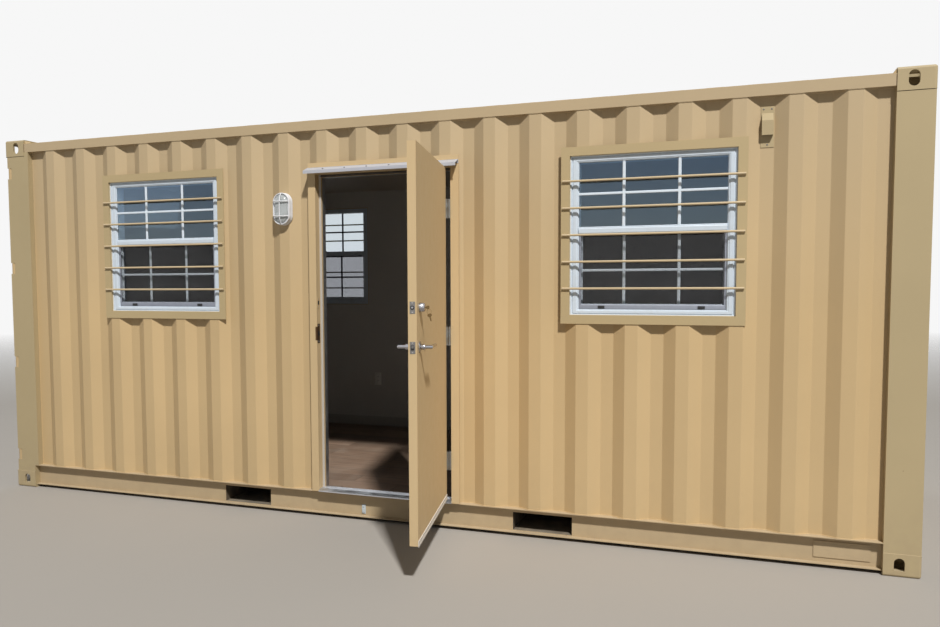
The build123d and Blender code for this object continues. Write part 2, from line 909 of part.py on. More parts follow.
def drip_cap():
    """Bent cap over the door with its flange on the frame head."""
    base_z = head_z - cap_drop
    front_z = base_z + cap_lip_h
    back_z = front_z + cap_rise
    line = [
        (frame_y, back_z - cap_flange_h),
        (frame_y, back_z),
        (frame_y - cap_reach, front_z),
        (frame_y - cap_reach, base_z),
    ]
    return lengthwise(strip(line, cap_sheet), (outer_left_x, outer_right_x))


save("door_jambs", [jamb(outer_left_x, 1), jamb(outer_right_x, -1)])
save("door_head", [door_head()])
save("door_studs", door_studs())
save("door_threshold", [threshold()])
save("drip_cap", [drip_cap()])

# Personnel door leaf, shaped shut and then swung open


def swung(pieces):
    """Pieces of the shut door turned about the hinge pins."""
    axis = Axis((hinge_x, hinge_y, 0), (0, 0, 1))
    return [piece.rotate(axis, door_open_deg) for piece in pieces]


def edge_plate(z):
    """Plate let into the lock edge of the leaf."""
    mid_y = frame_y + leaf_t / 2
    return block(
        (leaf_left_x, leaf_left_x + faceplate_t),
        (mid_y - faceplate_w / 2, mid_y + faceplate_w / 2),
        (z - faceplate_h / 2, z + faceplate_h / 2),
    )


def spindle_hole(y):
    """Round hole about the lever spindle."""
    return rod((lever_x, y[0], lever_z), (lever_x, y[1], lever_z), spindle_r + spindle_play)


def door_leaf():
    """Flush leaf with a bevelled lock edge, bored for the spindle."""
    outline = [
        (leaf_left_x, frame_y),
        (leaf_right_x, frame_y),
        (leaf_right_x, leaf_back_y),
        (leaf_left_x + leaf_bevel, leaf_back_y),
    ]
    leaf = upright(outline, (leaf_base_z, leaf_top_z)) - spindle_hole((frame_y, leaf_back_y))
    return leaf - edge_plate(lever_z) - edge_plate(bolt_z)


def door_sweep():
    """Strip across the foot of the outer face."""
    return block(
        (leaf_left_x, leaf_right_x),
        (frame_y - sweep_t, frame_y),
        (leaf_base_z - sweep_drop, leaf_base_z + sweep_h),
    )


save("door_leaf", swung([door_leaf()]))
save("door_sweep", swung([door_sweep()]))

# Hinges


def hinge_rod(z, radius):
    """Round bar on the hinge axis over the height of one hinge."""
    half = hinge_h / 2
    return rod((hinge_x, hinge_y, z - half), (hinge_x, hinge_y, z + half), radius)


def hinge_half(z, x, own, others):
    """Plate and own knuckles of one hinge, cleared for the other half's."""
    base = z - hinge_h / 2
    step = hinge_h / hinge_knuckles
    half = block(x, (hinge_y, hinge_y + hinge_plate_w), (base, base + hinge_h))
    for i in others:
        low, high = base + i * step, base + (i + 1) * step
        half -= block(x, (hinge_y, hinge_y + hinge_r + hinge_play), (low, high))
    for i in own:
        low, high = base + i * step + hinge_play / 2, base + (i + 1) * step - hinge_play / 2
        half += rod((hinge_x, hinge_y, low), (hinge_x, hinge_y, high), hinge_r)
    return half


frame_knuckles = range(0, hinge_knuckles, 2)
leaf_knuckles = range(1, hinge_knuckles, 2)


def jamb_hinge(z):
    """Half of a hinge on the jamb, with the pin."""
    x = (right_rabbet_x - hinge_plate_t, right_rabbet_x)
    return hinge_half(z, x, frame_knuckles, leaf_knuckles) + hinge_rod(z, hinge_pin_r)


def leaf_hinge(z):
    """Half of a hinge on the edge of the leaf, bored for the pin."""
    x = (leaf_right_x, leaf_right_x + hinge_plate_t)
    bore = hinge_rod(z, hinge_pin_r + hinge_play)
    return hinge_half(z, x, leaf_knuckles, frame_knuckles) - bore


save("jamb_hinges", [jamb_hinge(z) for z in hinge_zs])
save("leaf_hinges", swung([leaf_hinge(z) for z in hinge_zs]))

# Lock and levers


def face_disc(z, radius, y):
    """Round plate on a face of the leaf."""
    return rod((lever_x, y[0], z), (lever_x, y[1], z), radius)


def lock_trim():
    """Roses, bolt cylinder and turn, and the two edge plates."""
    outside = (frame_y - rose_t, frame_y)
    inside = (leaf_back_y, leaf_back_y + rose_t)
    roses = [face_disc(lever_z, rose_r, y) - spindle_hole(y) for y in (outside, inside)]
    cylinder = face_disc(bolt_z, cylinder_r, (frame_y - cylinder_t, frame_y))
    turn = face_disc(bolt_z, cylinder_r, (leaf_back_y, leaf_back_y + turn_t))
    return roses + [cylinder, turn, edge_plate(lever_z), edge_plate(bolt_z)]


def lever_set():
    """Two levers on one spindle through the leaf, each a collar and a mitred round bar."""
    faces = (frame_y, leaf_back_y)
    body = rod((lever_x, faces[0], lever_z), (lever_x, faces[1], lever_z), spindle_r)
    for face, way in zip(faces, (-1, 1)):
        near_y = face + way * (rose_t + lever_gap)
        grip_y = face + way * lever_stand
        path = Polyline(
            (lever_x, near_y, lever_z), (lever_x, grip_y, lever_z), (lever_x + lever_len, grip_y, lever_z)
        )
        section = Plane(origin=path @ 0, z_dir=path % 0) * Circle(lever_r)
        body += sweep(section, path=path, transition=Transition.RIGHT)
        body += rod((lever_x, face, lever_z), (lever_x, near_y, lever_z), spindle_r)
        body += rod((lever_x, near_y, lever_z), (lever_x, face + way * collar_end, lever_z), collar_r)
    return body


save("lock_trim", swung(lock_trim()))
save("lever_set", swung([lever_set()]))

# Cargo doors

cargo_y = (-cargo_edge_y + cargo_gap, -cargo_gap / 2)
cargo_z = (rear_sill_top + cargo_gap, header_base - cargo_gap)
handle_mid_z = rear_sill_top + handle_rise
handle_z = (handle_mid_z - handle_h / 2, handle_mid_z + handle_h / 2)


def cargo_leaf():
    """Near cargo door: box frame round a sheet with pressed troughs."""
    x = (cargo_back_x, rear_plane_x)
    panel_y = (cargo_y[0] + cargo_frame, cargo_y[1] - cargo_frame)
    panel_z = (cargo_z[0] + cargo_frame, cargo_z[1] - cargo_frame)
    frame = block(x, cargo_y, cargo_z) - block(x, panel_y, panel_z)
    face_x = rear_plane_x - cargo_panel_inset
    back_x = face_x - cargo_panel_depth
    quarter = (panel_z[1] - panel_z[0]) / cargo_troughs / 4
    line = [(face_x, panel_z[0])]
    for i in range(cargo_troughs):
        low = panel_z[0] + (4 * i + 0.5) * quarter
        line += [(face_x, low), (back_x, low + quarter)]
        line += [(back_x, low + 2 * quarter), (face_x, low + 3 * quarter)]
    line.append((face_x, panel_z[1]))
    leaf = frame + crosswise(strip(line, sheet), panel_y)
    for y in (lock_bar_y[0] + handle_len, lock_bar_y[1] - handle_len + catch_w):
        leaf += block((back_x, bar_x - handle_t / 2), (y - catch_w, y), handle_z)
    return other_end(leaf)


def cargo_seal():
    """Rubber strip all round the near cargo door."""
    x = (rear_plane_x - seal_inset - seal_t, rear_plane_x - seal_inset)
    outer = block(x, (-cargo_edge_y, 0), (rear_sill_top, header_base))
    return other_end(outer - block(x, cargo_y, cargo_z))


def lock_bar(y, way):
    """Upright lock bar with its brackets, and its handle to one side."""
    low, high = rear_sill_top - lock_bar_overrun, header_base + lock_bar_overrun
    bar = rod((bar_x, y, low), (bar_x, y, high), lock_bar_r)
    step = (cargo_z[1] - cargo_z[0] - 2 * bracket_h) / (bracket_count - 1)
    bracket_x = (rear_plane_x, bar_x + lock_bar_r / 2)
    for i in range(bracket_count):
        z = cargo_z[0] + bracket_h + i * step
        bracket_z = (z - bracket_h / 2, z + bracket_h / 2)
        bar += block(bracket_x, (y - bracket_w / 2, y + bracket_w / 2), bracket_z)
    handle_x = (bar_x - handle_t / 2, bar_x + handle_t / 2)
    handle_y = sorted((y, y + way * handle_len))
    bar += block(handle_x, handle_y, handle_z)
    return other_end(bar)


def cargo_hinge(z):
    """Knuckle in the notch of the post with its blade on the door."""
    x = rear_edge_x - cargo_hinge_r
    y = -steel_y + cargo_hinge_r
    low, high = z - cargo_hinge_h / 2, z + cargo_hinge_h / 2
    knuckle = rod((x, y, low), (x, y, high), cargo_hinge_r)
    blade_x = (rear_plane_x, rear_plane_x + cargo_blade_t)
    return other_end(knuckle + block(blade_x, (y, y + cargo_blade_w), (low, high)))


save("cargo_doors", both_sides([cargo_leaf()]))
save("cargo_door_seals", both_sides([cargo_seal()]))
save("lock_bars", both_sides([lock_bar(lock_bar_y[0], 1), lock_bar(lock_bar_y[1], -1)]))
save("cargo_hinges", both_sides([cargo_hinge(z) for z in cargo_hinge_zs]))

# Light and vent


def light_lens():
    """Domed lens of the bulkhead light."""
    y = -crest_y - light_base_t
    tall, wide = light_h - 2 * lens_margin, light_w - 2 * lens_margin
    rim = oval(light_x, y, light_z, tall, wide, lens_rim)
    return rim + oval(light_x, y - lens_rim, light_z, tall, wide, lens_crown, lens_taper)


def guard_arch(middle, half, back):
    """Outline of a guard bar that rises over the lens, as (place, y) about a middle."""
    front = back - guard_crown
    low, high = middle - half + guard_bar, middle + half - guard_bar
    line = [(low, back), (low + guard_shoulder, front), (high - guard_shoulder, front), (high, back)]
    return strip(line, -guard_bar)


def light_guard():
    """Ring on the light's rim with one upright and two level bars domed over the lens."""
    t = guard_bar
    back = -crest_y - light_base_t
    tall, wide = light_h - 2 * guard_in, light_w - 2 * guard_in
    guard = oval(light_x, back, light_z, tall, wide, t)
    guard -= oval(light_x, back, light_z, tall - 2 * t, wide - 2 * t, t)
    upright_bar = [(y, z) for z, y in guard_arch(light_z, tall / 2, back)]
    guard += lengthwise(upright_bar, (light_x - t / 2, light_x + t / 2))
    for z in (light_z - guard_rise, light_z + guard_rise):
        guard += upright(guard_arch(light_x, wide / 2, back), (z - t / 2, z + t / 2))
    return guard


def vent():
    """Vent plate in a trough with a sloped hood open at its foot."""
    face_y = -trough_y - vent_plate_t
    plate_z = (vent_z - vent_h / 2, vent_z + vent_h / 2)
    plate = block((vent_x - vent_w / 2, vent_x + vent_w / 2), (face_y, -trough_y), plate_z)
    foot = plate_z[0] + hood_lift
    top = foot + hood_h
    front_y = face_y - hood_reach
    left, right = vent_x - hood_w / 2, vent_x + hood_w / 2
    front = [(front_y, foot), (front_y, top - hood_slope), (face_y, top)]
    cheek = [*front, (face_y, foot)]
    hood = lengthwise(strip(front, -hood_sheet), (left, right))
    hood += lengthwise(cheek, (left, left + hood_sheet))
    hood += lengthwise(cheek, (right - hood_sheet, right))
    return plate + hood


save("light_base", [oval(light_x, -crest_y, light_z, light_h, light_w, light_base_t)])
save("light_lens", [light_lens()])
save("light_guard", [light_guard()])
save("vent_cover", [vent()])
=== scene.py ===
"""Looks of the shipping container site office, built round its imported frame.

Lengths are in metres. +X runs along the container to its closed end, -Y faces
the long wall with the personnel door, and +Z is up. Each piece is modelled
where the frame has it, so its object stays at the origin.
"""

import json
import logging
import math
from collections.abc import Iterable, Sequence
from dataclasses import dataclass, replace
from enum import Enum

import bmesh
import bpy
from mathutils import Matrix, Vector

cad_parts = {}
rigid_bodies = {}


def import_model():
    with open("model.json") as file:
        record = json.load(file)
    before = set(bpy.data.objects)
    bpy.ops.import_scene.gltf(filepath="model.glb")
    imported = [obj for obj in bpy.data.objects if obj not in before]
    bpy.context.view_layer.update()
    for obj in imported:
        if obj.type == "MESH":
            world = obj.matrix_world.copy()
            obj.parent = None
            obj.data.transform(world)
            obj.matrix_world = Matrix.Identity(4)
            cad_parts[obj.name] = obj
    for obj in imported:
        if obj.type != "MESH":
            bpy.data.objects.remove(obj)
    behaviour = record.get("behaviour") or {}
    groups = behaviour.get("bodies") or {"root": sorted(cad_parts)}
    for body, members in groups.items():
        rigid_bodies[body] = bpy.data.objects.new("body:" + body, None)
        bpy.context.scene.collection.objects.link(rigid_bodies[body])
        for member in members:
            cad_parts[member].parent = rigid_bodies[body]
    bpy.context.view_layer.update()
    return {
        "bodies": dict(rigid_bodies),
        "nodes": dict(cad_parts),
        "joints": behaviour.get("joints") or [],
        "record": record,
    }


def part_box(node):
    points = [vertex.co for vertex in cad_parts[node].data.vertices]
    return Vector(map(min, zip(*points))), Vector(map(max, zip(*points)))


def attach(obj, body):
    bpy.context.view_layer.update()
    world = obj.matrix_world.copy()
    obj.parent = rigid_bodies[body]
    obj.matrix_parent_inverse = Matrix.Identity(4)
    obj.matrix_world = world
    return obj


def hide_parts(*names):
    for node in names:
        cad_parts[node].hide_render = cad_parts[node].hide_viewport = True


Colour = tuple[float, float, float]
Range = tuple[float, float]
Triple = tuple[float, float, float]
Spot = tuple[Vector, Vector]
Socket = bpy.types.NodeSocket
Object = bpy.types.Object

LOG = logging.getLogger("site_office")
IMAGE_WIDTH = 940
IMAGE_HEIGHT = 627
HINGE_AXIS = Vector((0.4795, -1.241, 0.0))
DOOR_OPEN = math.radians(100.7)
OPEN_TURN = Matrix.Rotation(DOOR_OPEN, 4, "Z")
TO_OPEN = Matrix.Translation(HINGE_AXIS) @ OPEN_TURN @ Matrix.Translation(-HINGE_AXIS)
UPRIGHT = Matrix.Identity(4)
MERGE_DISTANCE = 5e-6
POLE_RADIUS = 1e-5
SMOOTH_ANGLE = 35.0
BEVEL_ANGLE = math.radians(40.0)
BEVEL_SEGMENTS = 2


class Body(Enum):
    """Bodies of the frame that pieces ride on."""

    CONTAINER = "container"
    DOOR = "door"
    LEVER = "lever"


class Side(Enum):
    """Long side of the container, as the sign that carries near places to it."""

    NEAR = 1.0
    FAR = -1.0


# Node graphs, and boards of materials


class Graph:
    """Node tree, with short calls that add its nodes and link them."""

    def __init__(self, tree: bpy.types.NodeTree) -> None:
        """Start on a node tree."""
        self.nodes, self.links = tree.nodes, tree.links

    def feed(self, socket: Socket, value: object) -> None:
        """Link a socket, or set it where the value is a plain one.

        Args:
            socket: Input to fill.
            value: Output socket, number, colour or vector.
        """
        if isinstance(value, bpy.types.NodeSocket):
            self.links.new(value, socket)
        elif isinstance(value, tuple) and socket.type == "RGBA":
            socket.default_value = (*value, 1.0)
        else:
            socket.default_value = value

    def add(self, kind: str, inputs: dict[str, object], **settings: object) -> bpy.types.Node:
        """Add a node.

        Args:
            kind: Node type.
            inputs: Values or sockets by input identifier.
            **settings: Properties of the node.

        Returns:
            The new node.
        """
        node = self.nodes.new(kind)
        for key, value in settings.items():
            setattr(node, key, value)
        sockets = {socket.identifier: socket for socket in node.inputs}
        for key, value in inputs.items():
            self.feed(sockets[key], value)
        return node

    def math(self, operation: str, first: object, second: object = 0.0) -> Socket:
        """Result of one sum."""
        inputs = {"Value": first, "Value_001": second}
        return self.add("ShaderNodeMath", inputs, operation=operation).outputs[0]


class Board(Graph):
    """Node tree of one material, with short calls for the nodes that finishes share."""

    def __init__(self, name: str) -> None:
        """Start a material with one principled shader.

        Args:
            name: Name of the material.
        """
        self.material = bpy.data.materials.new(name)
        self.material.use_nodes = True
        super().__init__(self.material.node_tree)
        self.nodes.clear()
        self.output = self.nodes.new("ShaderNodeOutputMaterial")
        self.shader = self.nodes.new("ShaderNodeBsdfPrincipled")
        self.links.new(self.shader.outputs["BSDF"], self.output.inputs["Surface"])
        self.place = self.nodes.new("ShaderNodeTexCoord").outputs["Object"]

    def spot(self, stretch: Triple) -> Socket:
        """Object coordinates, scaled along each axis."""
        return self.add("ShaderNodeMapping", {"Vector": self.place, "Scale": stretch}).outputs[0]

    def noise(self, scale: float, detail: float = 3.0, stretch: Triple = (1.0, 1.0, 1.0)) -> Socket:
        """Fractal noise from 0 to 1, by cells in a metre, octaves and scale along each axis."""
        inputs = {"Vector": self.spot(stretch), "Scale": scale, "Detail": detail}
        return self.add("ShaderNodeTexNoise", inputs).outputs["Fac"]

    def span(
        self, value: Socket, low: float, high: float, start: float = 0.0, end: float = 1.0
    ) -> Socket:
        """Value carried from low and high to start and end, and held at them."""
        inputs = {"Value": value, "From Min": low, "From Max": high, "To Min": start, "To Max": end}
        return self.add("ShaderNodeMapRange", inputs).outputs["Result"]

    def mix(self, share: object, first: object, second: object) -> Socket:
        """Colour between two.

        Args:
            share: Share of the second colour.
            first: Colour at a share of 0.
            second: Colour at a share of 1.

        Returns:
            The mixed colour.
        """
        node = self.add("ShaderNodeMix", {}, data_type="RGBA")
        colours = [s for s in node.inputs if s.type == "RGBA"]
        self.feed(node.inputs["Factor"], share)
        self.feed(colours[0], first)
        self.feed(colours[1], second)
        return next(s for s in node.outputs if s.type == "RGBA")

    def axis(self, letter: str) -> Socket:
        """One coordinate of the object's own space."""
        return self.add("ShaderNodeSeparateXYZ", {"Vector": self.place}).outputs[letter]

    def facing(self, letter: str) -> Socket:
        """One part of the surface's own direction."""
        normal = self.nodes.new("ShaderNodeNewGeometry").outputs["True Normal"]
        return self.add("ShaderNodeSeparateXYZ", {"Vector": normal}).outputs[letter]

    def bump(self, height: Socket, depth: float, **under: Socket) -> Socket:
        """Normal of a surface raised by a height, over a coarser Normal where one is given."""
        inputs = {"Height": height, "Distance": depth, "Strength": 1.0, **under}
        return self.add("ShaderNodeBump", inputs).outputs["Normal"]

    def times(self, first: object, second: object) -> Socket:
        """Product of two values."""
        return self.math("MULTIPLY", first, second)

    def tone(self, colour: Colour, scale: float, detail: float, low: float, high: float) -> Socket:
        """Colour that drifts in clouds between two factors of itself."""
        return self.mix(self.noise(scale, detail), shaded(colour, low), shaded(colour, high))

    def close(self, **values: object) -> None:
        """Fill the shader's sockets, named with underscores for spaces."""
        for key, value in values.items():
            self.feed(self.shader.inputs[key.replace("_", " ")], value)


def shaded(colour: Colour, factor: float) -> Colour:
    """The colour made darker or lighter."""
    return tuple(min(1.0, part * factor) for part in colour)


# Finishes


@dataclass(frozen=True)
class Finish:
    """A surface finish, painted on its own board when it is first asked for."""

    name: str

    def paint(self, board: Board) -> None:
        """Draw the finish on a board."""
        raise NotImplementedError

    def material(self) -> bpy.types.Material:
        """The finish as a material, made once.

        Returns:
            The material.
        """
        key = f"finish_{self.name}"
        found = bpy.data.materials.get(key)
        if found is None:
            board = Board(key)
            self.paint(board)
            found = board.material
        return found


@dataclass(frozen=True)
class Enamel(Finish):
    """Sprayed paint on steel, with dust low down, runs of dirt and small chips."""

    colour: Colour
    fade: float = 0.05
    soil: float = 0.5
    soil_top: float = 0.5
    streaks: float = 0.10
    dust: float = 0.35
    chips: float = 0.0
    roughness: float = 0.56
    specular: float = 0.35
    peel: float = 0.00012
    dent: float = 0.0010
    top_greying: float = 0.0
    top_greying_z: Range = (1.3, 2.6)
    top_greying_colour: Colour = (0.43, 0.355, 0.245)
    soil_colour: Colour = (0.33, 0.25, 0.16)
    dust_colour: Colour = (0.52, 0.45, 0.34)
    chip_colour: Colour = (0.16, 0.075, 0.035)

    def paint(self, board: Board) -> None:
        """Draw fading, greying towards the top, streaks, low soil, dust, chips, peel and dents.

        Args:
            board: Board that it is drawn on.
        """
        patches = board.span(board.noise(0.9, 4.0), 0.3, 0.7)
        light, dark = shaded(self.colour, 1.0 + self.fade), shaded(self.colour, 1.0 - self.fade)
        colour = board.mix(patches, dark, light)
        # This share greys and darkens the colour towards the top of the wall, by height alone.
        top_greying_share = board.span(board.axis("Z"), *self.top_greying_z, 0.0, self.top_greying)
        colour = board.mix(top_greying_share, colour, self.top_greying_colour)
        runs = board.span(board.noise(7.0, 4.0, (1.0, 1.0, 0.07)), 0.55, 0.8)
        colour = board.mix(board.times(runs, self.streaks), colour, self.soil_colour)
        low = board.span(board.axis("Z"), 0.0, self.soil_top, 1.0, 0.0)
        splash = board.span(board.noise(14.0, 5.0), 0.35, 0.75)
        soil_share = board.times(board.times(low, splash), self.soil)
        colour = board.mix(soil_share, colour, self.soil_colour)
        ledge = board.span(board.facing("Z"), 0.5, 0.95)
        cloud = board.span(board.noise(9.0, 5.0), 0.3, 0.75, 0.35, 1.0)
        dust_share = board.times(board.times(ledge, cloud), self.dust)
        colour = board.mix(dust_share, colour, self.dust_colour)
        chip = board.span(board.noise(55.0, 3.0), 0.735, 0.75)
        patch = board.span(board.noise(3.0, 2.0), 0.5, 0.62)
        chip_share = board.times(board.times(chip, patch), self.chips)
        colour = board.mix(chip_share, colour, self.chip_colour)
        sheen = board.noise(22.0, 4.0)
        rough = board.span(sheen, 0.25, 0.75, self.roughness - 0.06, self.roughness + 0.08)
        rough = board.math("ADD", rough, board.times(dust_share, 0.3))
        waves = board.bump(board.noise(2.6, 2.0), self.dent)
        normal = board.bump(board.noise(420.0, 2.0), self.peel, Normal=waves)
        board.close(Base_Color=colour, Roughness=rough, Normal=normal)
        board.close(Specular_IOR_Level=self.specular)


@dataclass(frozen=True)
class Moulding(Finish):
    """Moulded plastic or enamelled casting, nearly smooth, greyed by handling."""

    colour: Colour
    soil: float = 0.18
    roughness: float = 0.34
    specular: float = 0.5
    grain: float = 0.00006
    soil_colour: Colour = (0.45, 0.42, 0.36)

    def paint(self, board: Board) -> None:
        """Draw a faint tone, soil in patches, and fine grain.

        Args:
            board: Board that it is drawn on.
        """
        tone = board.tone(self.colour, 5.0, 3.0, 0.96, 1.02)
        marks = board.span(board.noise(38.0, 6.0), 0.5, 0.8, 0.0, self.soil)
        colour = board.mix(marks, tone, self.soil_colour)
        sheen = board.noise(60.0, 3.0)
        rough = board.span(sheen, 0.3, 0.7, self.roughness - 0.05, self.roughness + 0.07)
        normal = board.bump(board.noise(900.0, 2.0), self.grain)
        board.close(Base_Color=colour, Roughness=rough, Normal=normal)
        board.close(Specular_IOR_Level=self.specular)


@dataclass(frozen=True)
class Metal(Finish):
    """Bare metal drawn or brushed along one direction."""

    colour: Colour
    roughness: float = 0.3
    brush: Triple = (1.0, 1.0, 1.0)
    haze: float = 0.15
    grain: float = 0.00003

    def paint(self, board: Board) -> None:
        """Draw brush lines, haze and small dull marks.

        Args:
            board: Board that it is drawn on.
        """
        lines = board.noise(520.0, 3.0, self.brush)
        haze = board.span(board.noise(26.0, 4.0), 0.35, 0.75, 0.0, self.haze)
        tone = board.mix(lines, shaded(self.colour, 0.9), shaded(self.colour, 1.08))
        colour = board.mix(haze, tone, shaded(self.colour, 0.62))
        rough = board.span(lines, 0.3, 0.7, self.roughness - 0.06, self.roughness + 0.06)
        rough = board.math("ADD", rough, haze)
        normal = board.bump(lines, self.grain)
        board.close(Base_Color=colour, Metallic=1.0, Roughness=rough, Normal=normal)


@dataclass(frozen=True)
class Rubber(Finish):
    """Dull rubber with a chalky bloom."""

    colour: Colour
    bloom: Colour = (0.16, 0.155, 0.15)
    roughness: float = 0.7
    pebble: float = 0.0001

    def paint(self, board: Board) -> None:
        """Draw the bloom in soft clouds over a pebbled surface.

        Args:
            board: Board that it is drawn on.
        """
        cloud = board.span(board.noise(30.0, 5.0), 0.4, 0.8, 0.0, 0.6)
        sheen = board.noise(80.0, 3.0)
        rough = board.span(sheen, 0.3, 0.7, self.roughness - 0.08, self.roughness + 0.1)
        normal = board.bump(board.noise(600.0, 3.0), self.pebble)
        colour = board.mix(cloud, self.colour, self.bloom)
        board.close(Base_Color=colour, Roughness=rough, Normal=normal)


@dataclass(frozen=True)
class PlankFloor(Finish):
    """Sheet flooring printed as boards along the room."""

    colour: Colour
    board_width: float = 0.152
    board_length: float = 0.914
    groove: float = 0.0025
    grain_depth: float = 0.0006
    dust_colour: Colour = (0.36, 0.30, 0.24)

    def paint(self, board: Board) -> None:
        """Draw boards of differing tone, their grain, joints and dusty footmarks.

        Args:
            board: Board that it is drawn on.
        """
        inputs = {
            "Vector": board.place,
            "Color1": shaded(self.colour, 0.72),
            "Color2": shaded(self.colour, 1.3),
            "Mortar": shaded(self.colour, 0.25),
            "Scale": 1.0,
            "Mortar Size": self.groove,
            "Mortar Smooth": 0.2,
            "Brick Width": self.board_length,
            "Row Height": self.board_width,
        }
        boards = board.add("ShaderNodeTexBrick", inputs, offset=0.37)
        grain = board.noise(34.0, 6.0, (0.06, 1.0, 1.0))
        fine = board.noise(190.0, 4.0, (0.05, 1.0, 1.0))
        share = board.span(grain, 0.35, 0.7, 0.0, 0.55)
        colour = board.mix(share, boards.outputs["Color"], shaded(self.colour, 0.45))
        colour = board.mix(board.span(fine, 0.5, 0.75, 0.0, 0.3), colour, shaded(self.colour, 1.6))
        dust = board.span(board.noise(6.0, 6.0), 0.45, 0.8, 0.0, 0.4)
        colour = board.mix(dust, colour, self.dust_colour)
        sheen = board.span(fine, 0.3, 0.7, 0.36, 0.48)
        rough = board.math("ADD", sheen, board.times(dust, 0.5))
        height = board.math("SUBTRACT", board.times(grain, 0.3), boards.outputs["Fac"])
        board.close(Base_Color=colour, Roughness=rough, Normal=board.bump(height, self.grain_depth))


@dataclass(frozen=True)
class WallBoard(Finish):
    """Painted board with a pebbled skin, scuffed near the floor."""

    colour: Colour
    pebble: float = 0.00035
    roughness: float = 0.62
    scuff_colour: Colour = (0.3, 0.28, 0.25)

    def paint(self, board: Board) -> None:
        """Draw the pebbled skin and scuffs low down.

        Args:
            board: Board that it is drawn on.
        """
        tone = board.tone(self.colour, 1.6, 3.0, 0.95, 1.03)
        low = board.span(board.axis("Z"), 0.2, 1.1, 1.0, 0.0)
        scuffs = board.span(board.noise(18.0, 6.0, (1.0, 1.0, 3.5)), 0.62, 0.78)
        scuff_share = board.times(low, board.times(scuffs, 0.35))
        colour = board.mix(scuff_share, tone, self.scuff_colour)
        normal = board.bump(board.noise(260.0, 4.0), self.pebble)
        board.close(Base_Color=colour, Roughness=self.roughness, Normal=normal)


@dataclass(frozen=True)
class Plywood(Finish):
    """Hardwood plywood with stacked plies at its edges."""

    colour: Colour
    ply: float = 0.0014
    grain_depth: float = 0.0006
    roughness: float = 0.72
    dirt_colour: Colour = (0.09, 0.075, 0.06)

    def paint(self, board: Board) -> None:
        """Draw long grain on the faces and plies across the edges.

        Args:
            board: Board that it is drawn on.
        """
        grain = board.noise(22.0, 7.0, (1.0, 0.05, 1.0))
        figure = board.span(grain, 0.3, 0.7)
        face = board.mix(figure, shaded(self.colour, 0.6), shaded(self.colour, 1.25))
        layer = board.math("FRACT", board.math("DIVIDE", board.axis("Z"), 2.0 * self.ply))
        plies = board.span(layer, 0.45, 0.55)
        edge = board.mix(plies, shaded(self.colour, 0.45), shaded(self.colour, 1.1))
        flat = board.math("ABSOLUTE", board.facing("Z"))
        colour = board.mix(board.span(flat, 0.4, 0.6), edge, face)
        dirt = board.span(board.noise(5.0, 6.0), 0.4, 0.75, 0.0, 0.6)
        colour = board.mix(dirt, colour, self.dirt_colour)
        normal = board.bump(grain, self.grain_depth)
        board.close(Base_Color=colour, Roughness=self.roughness, Normal=normal)


@dataclass(frozen=True)
class Pane(Finish):
    """Clear window glass with rain marks, whose specular tint can be set bluer towards the top as a
    painted sky reflection.
    """

    tint: Colour = (0.90, 0.95, 0.94)
    reflection_tint: Colour = (1.0, 1.0, 1.0)
    reflection_tint_top: Colour | None = None
    reflection_tint_z: Range = (1.84, 2.20)
    specular: float = 0.5
    smear: float = 0.10
    wave: float = 0.0004
    index: float = 1.5

    def paint(self, board: Board) -> None:
        """Draw clear glass whose roughness rises in dried drops and smears.

        Args:
            board: Board that it is drawn on.
        """
        drops = board.span(board.noise(75.0, 5.0, (1.0, 1.0, 0.45)), 0.6, 0.78)
        cloud = board.span(board.noise(4.0, 4.0), 0.4, 0.8)
        smear = board.times(board.math("ADD", drops, cloud), self.smear)
        tint = board.mix(smear, self.tint, shaded(self.tint, 0.8))
        normal = board.bump(board.noise(1.7, 2.0), self.wave)
        # Painted reflection: a bluish specular tint, bluer towards the top, stands in for the sky
        # mirrored in the glass.
        reflection_tint: object = self.reflection_tint
        if self.reflection_tint_top is not None:
            upper = board.span(board.axis("Z"), *self.reflection_tint_z)
            reflection_tint = board.mix(upper, self.reflection_tint, self.reflection_tint_top)
        board.close(Base_Color=tint, Roughness=smear, Normal=normal, Transmission_Weight=1.0)
        board.close(IOR=self.index, Specular_IOR_Level=self.specular, Specular_Tint=reflection_tint)


@dataclass(frozen=True)
class JarGlass(Finish):
    """Pressed glass of a lamp jar, milky with dust."""

    tint: Colour = (0.64, 0.68, 0.69)
    haze: Colour = (0.52, 0.55, 0.55)
    roughness: Range = (0.16, 0.30)
    pebble: float = 0.00015
    clear: float = 0.35
    index: float = 1.5

    def paint(self, board: Board) -> None:
        """Draw pressed glass, partly clear and partly milky.

        Args:
            board: Board that it is drawn on.
        """
        cloud = board.span(board.noise(24.0, 3.0), 0.3, 0.8)
        tint = board.mix(cloud, self.tint, self.haze)
        rough = board.span(cloud, 0.0, 1.0, *self.roughness)
        normal = board.bump(board.noise(110.0, 2.0), self.pebble)
        board.close(Base_Color=tint, Roughness=rough, Normal=normal)
        board.close(Transmission_Weight=self.clear, IOR=self.index)


@dataclass(frozen=True)
class Studio(Finish):
    """Pale studio floor that fades into the backdrop far from the object."""

    colour: Colour
    fade_start: float = 7.0
    fade_end: float = 24.0
    roughness: float = 0.85

    def paint(self, board: Board) -> None:
        """Draw faint mottling, and clear the floor with the distance from the middle.

        Args:
            board: Board that it is drawn on.
        """
        tone = board.tone(self.colour, 0.8, 4.0, 0.985, 1.015)
        length = board.add("ShaderNodeVectorMath", {"Vector": board.place}, operation="LENGTH")
        distance = length.outputs["Value"]
        clear = board.span(distance, self.fade_start, self.fade_end, 1.0, 0.0)
        board.close(Base_Color=tone, Roughness=self.roughness, Alpha=clear)


PAINT: Colour = (0.54, 0.395, 0.212)

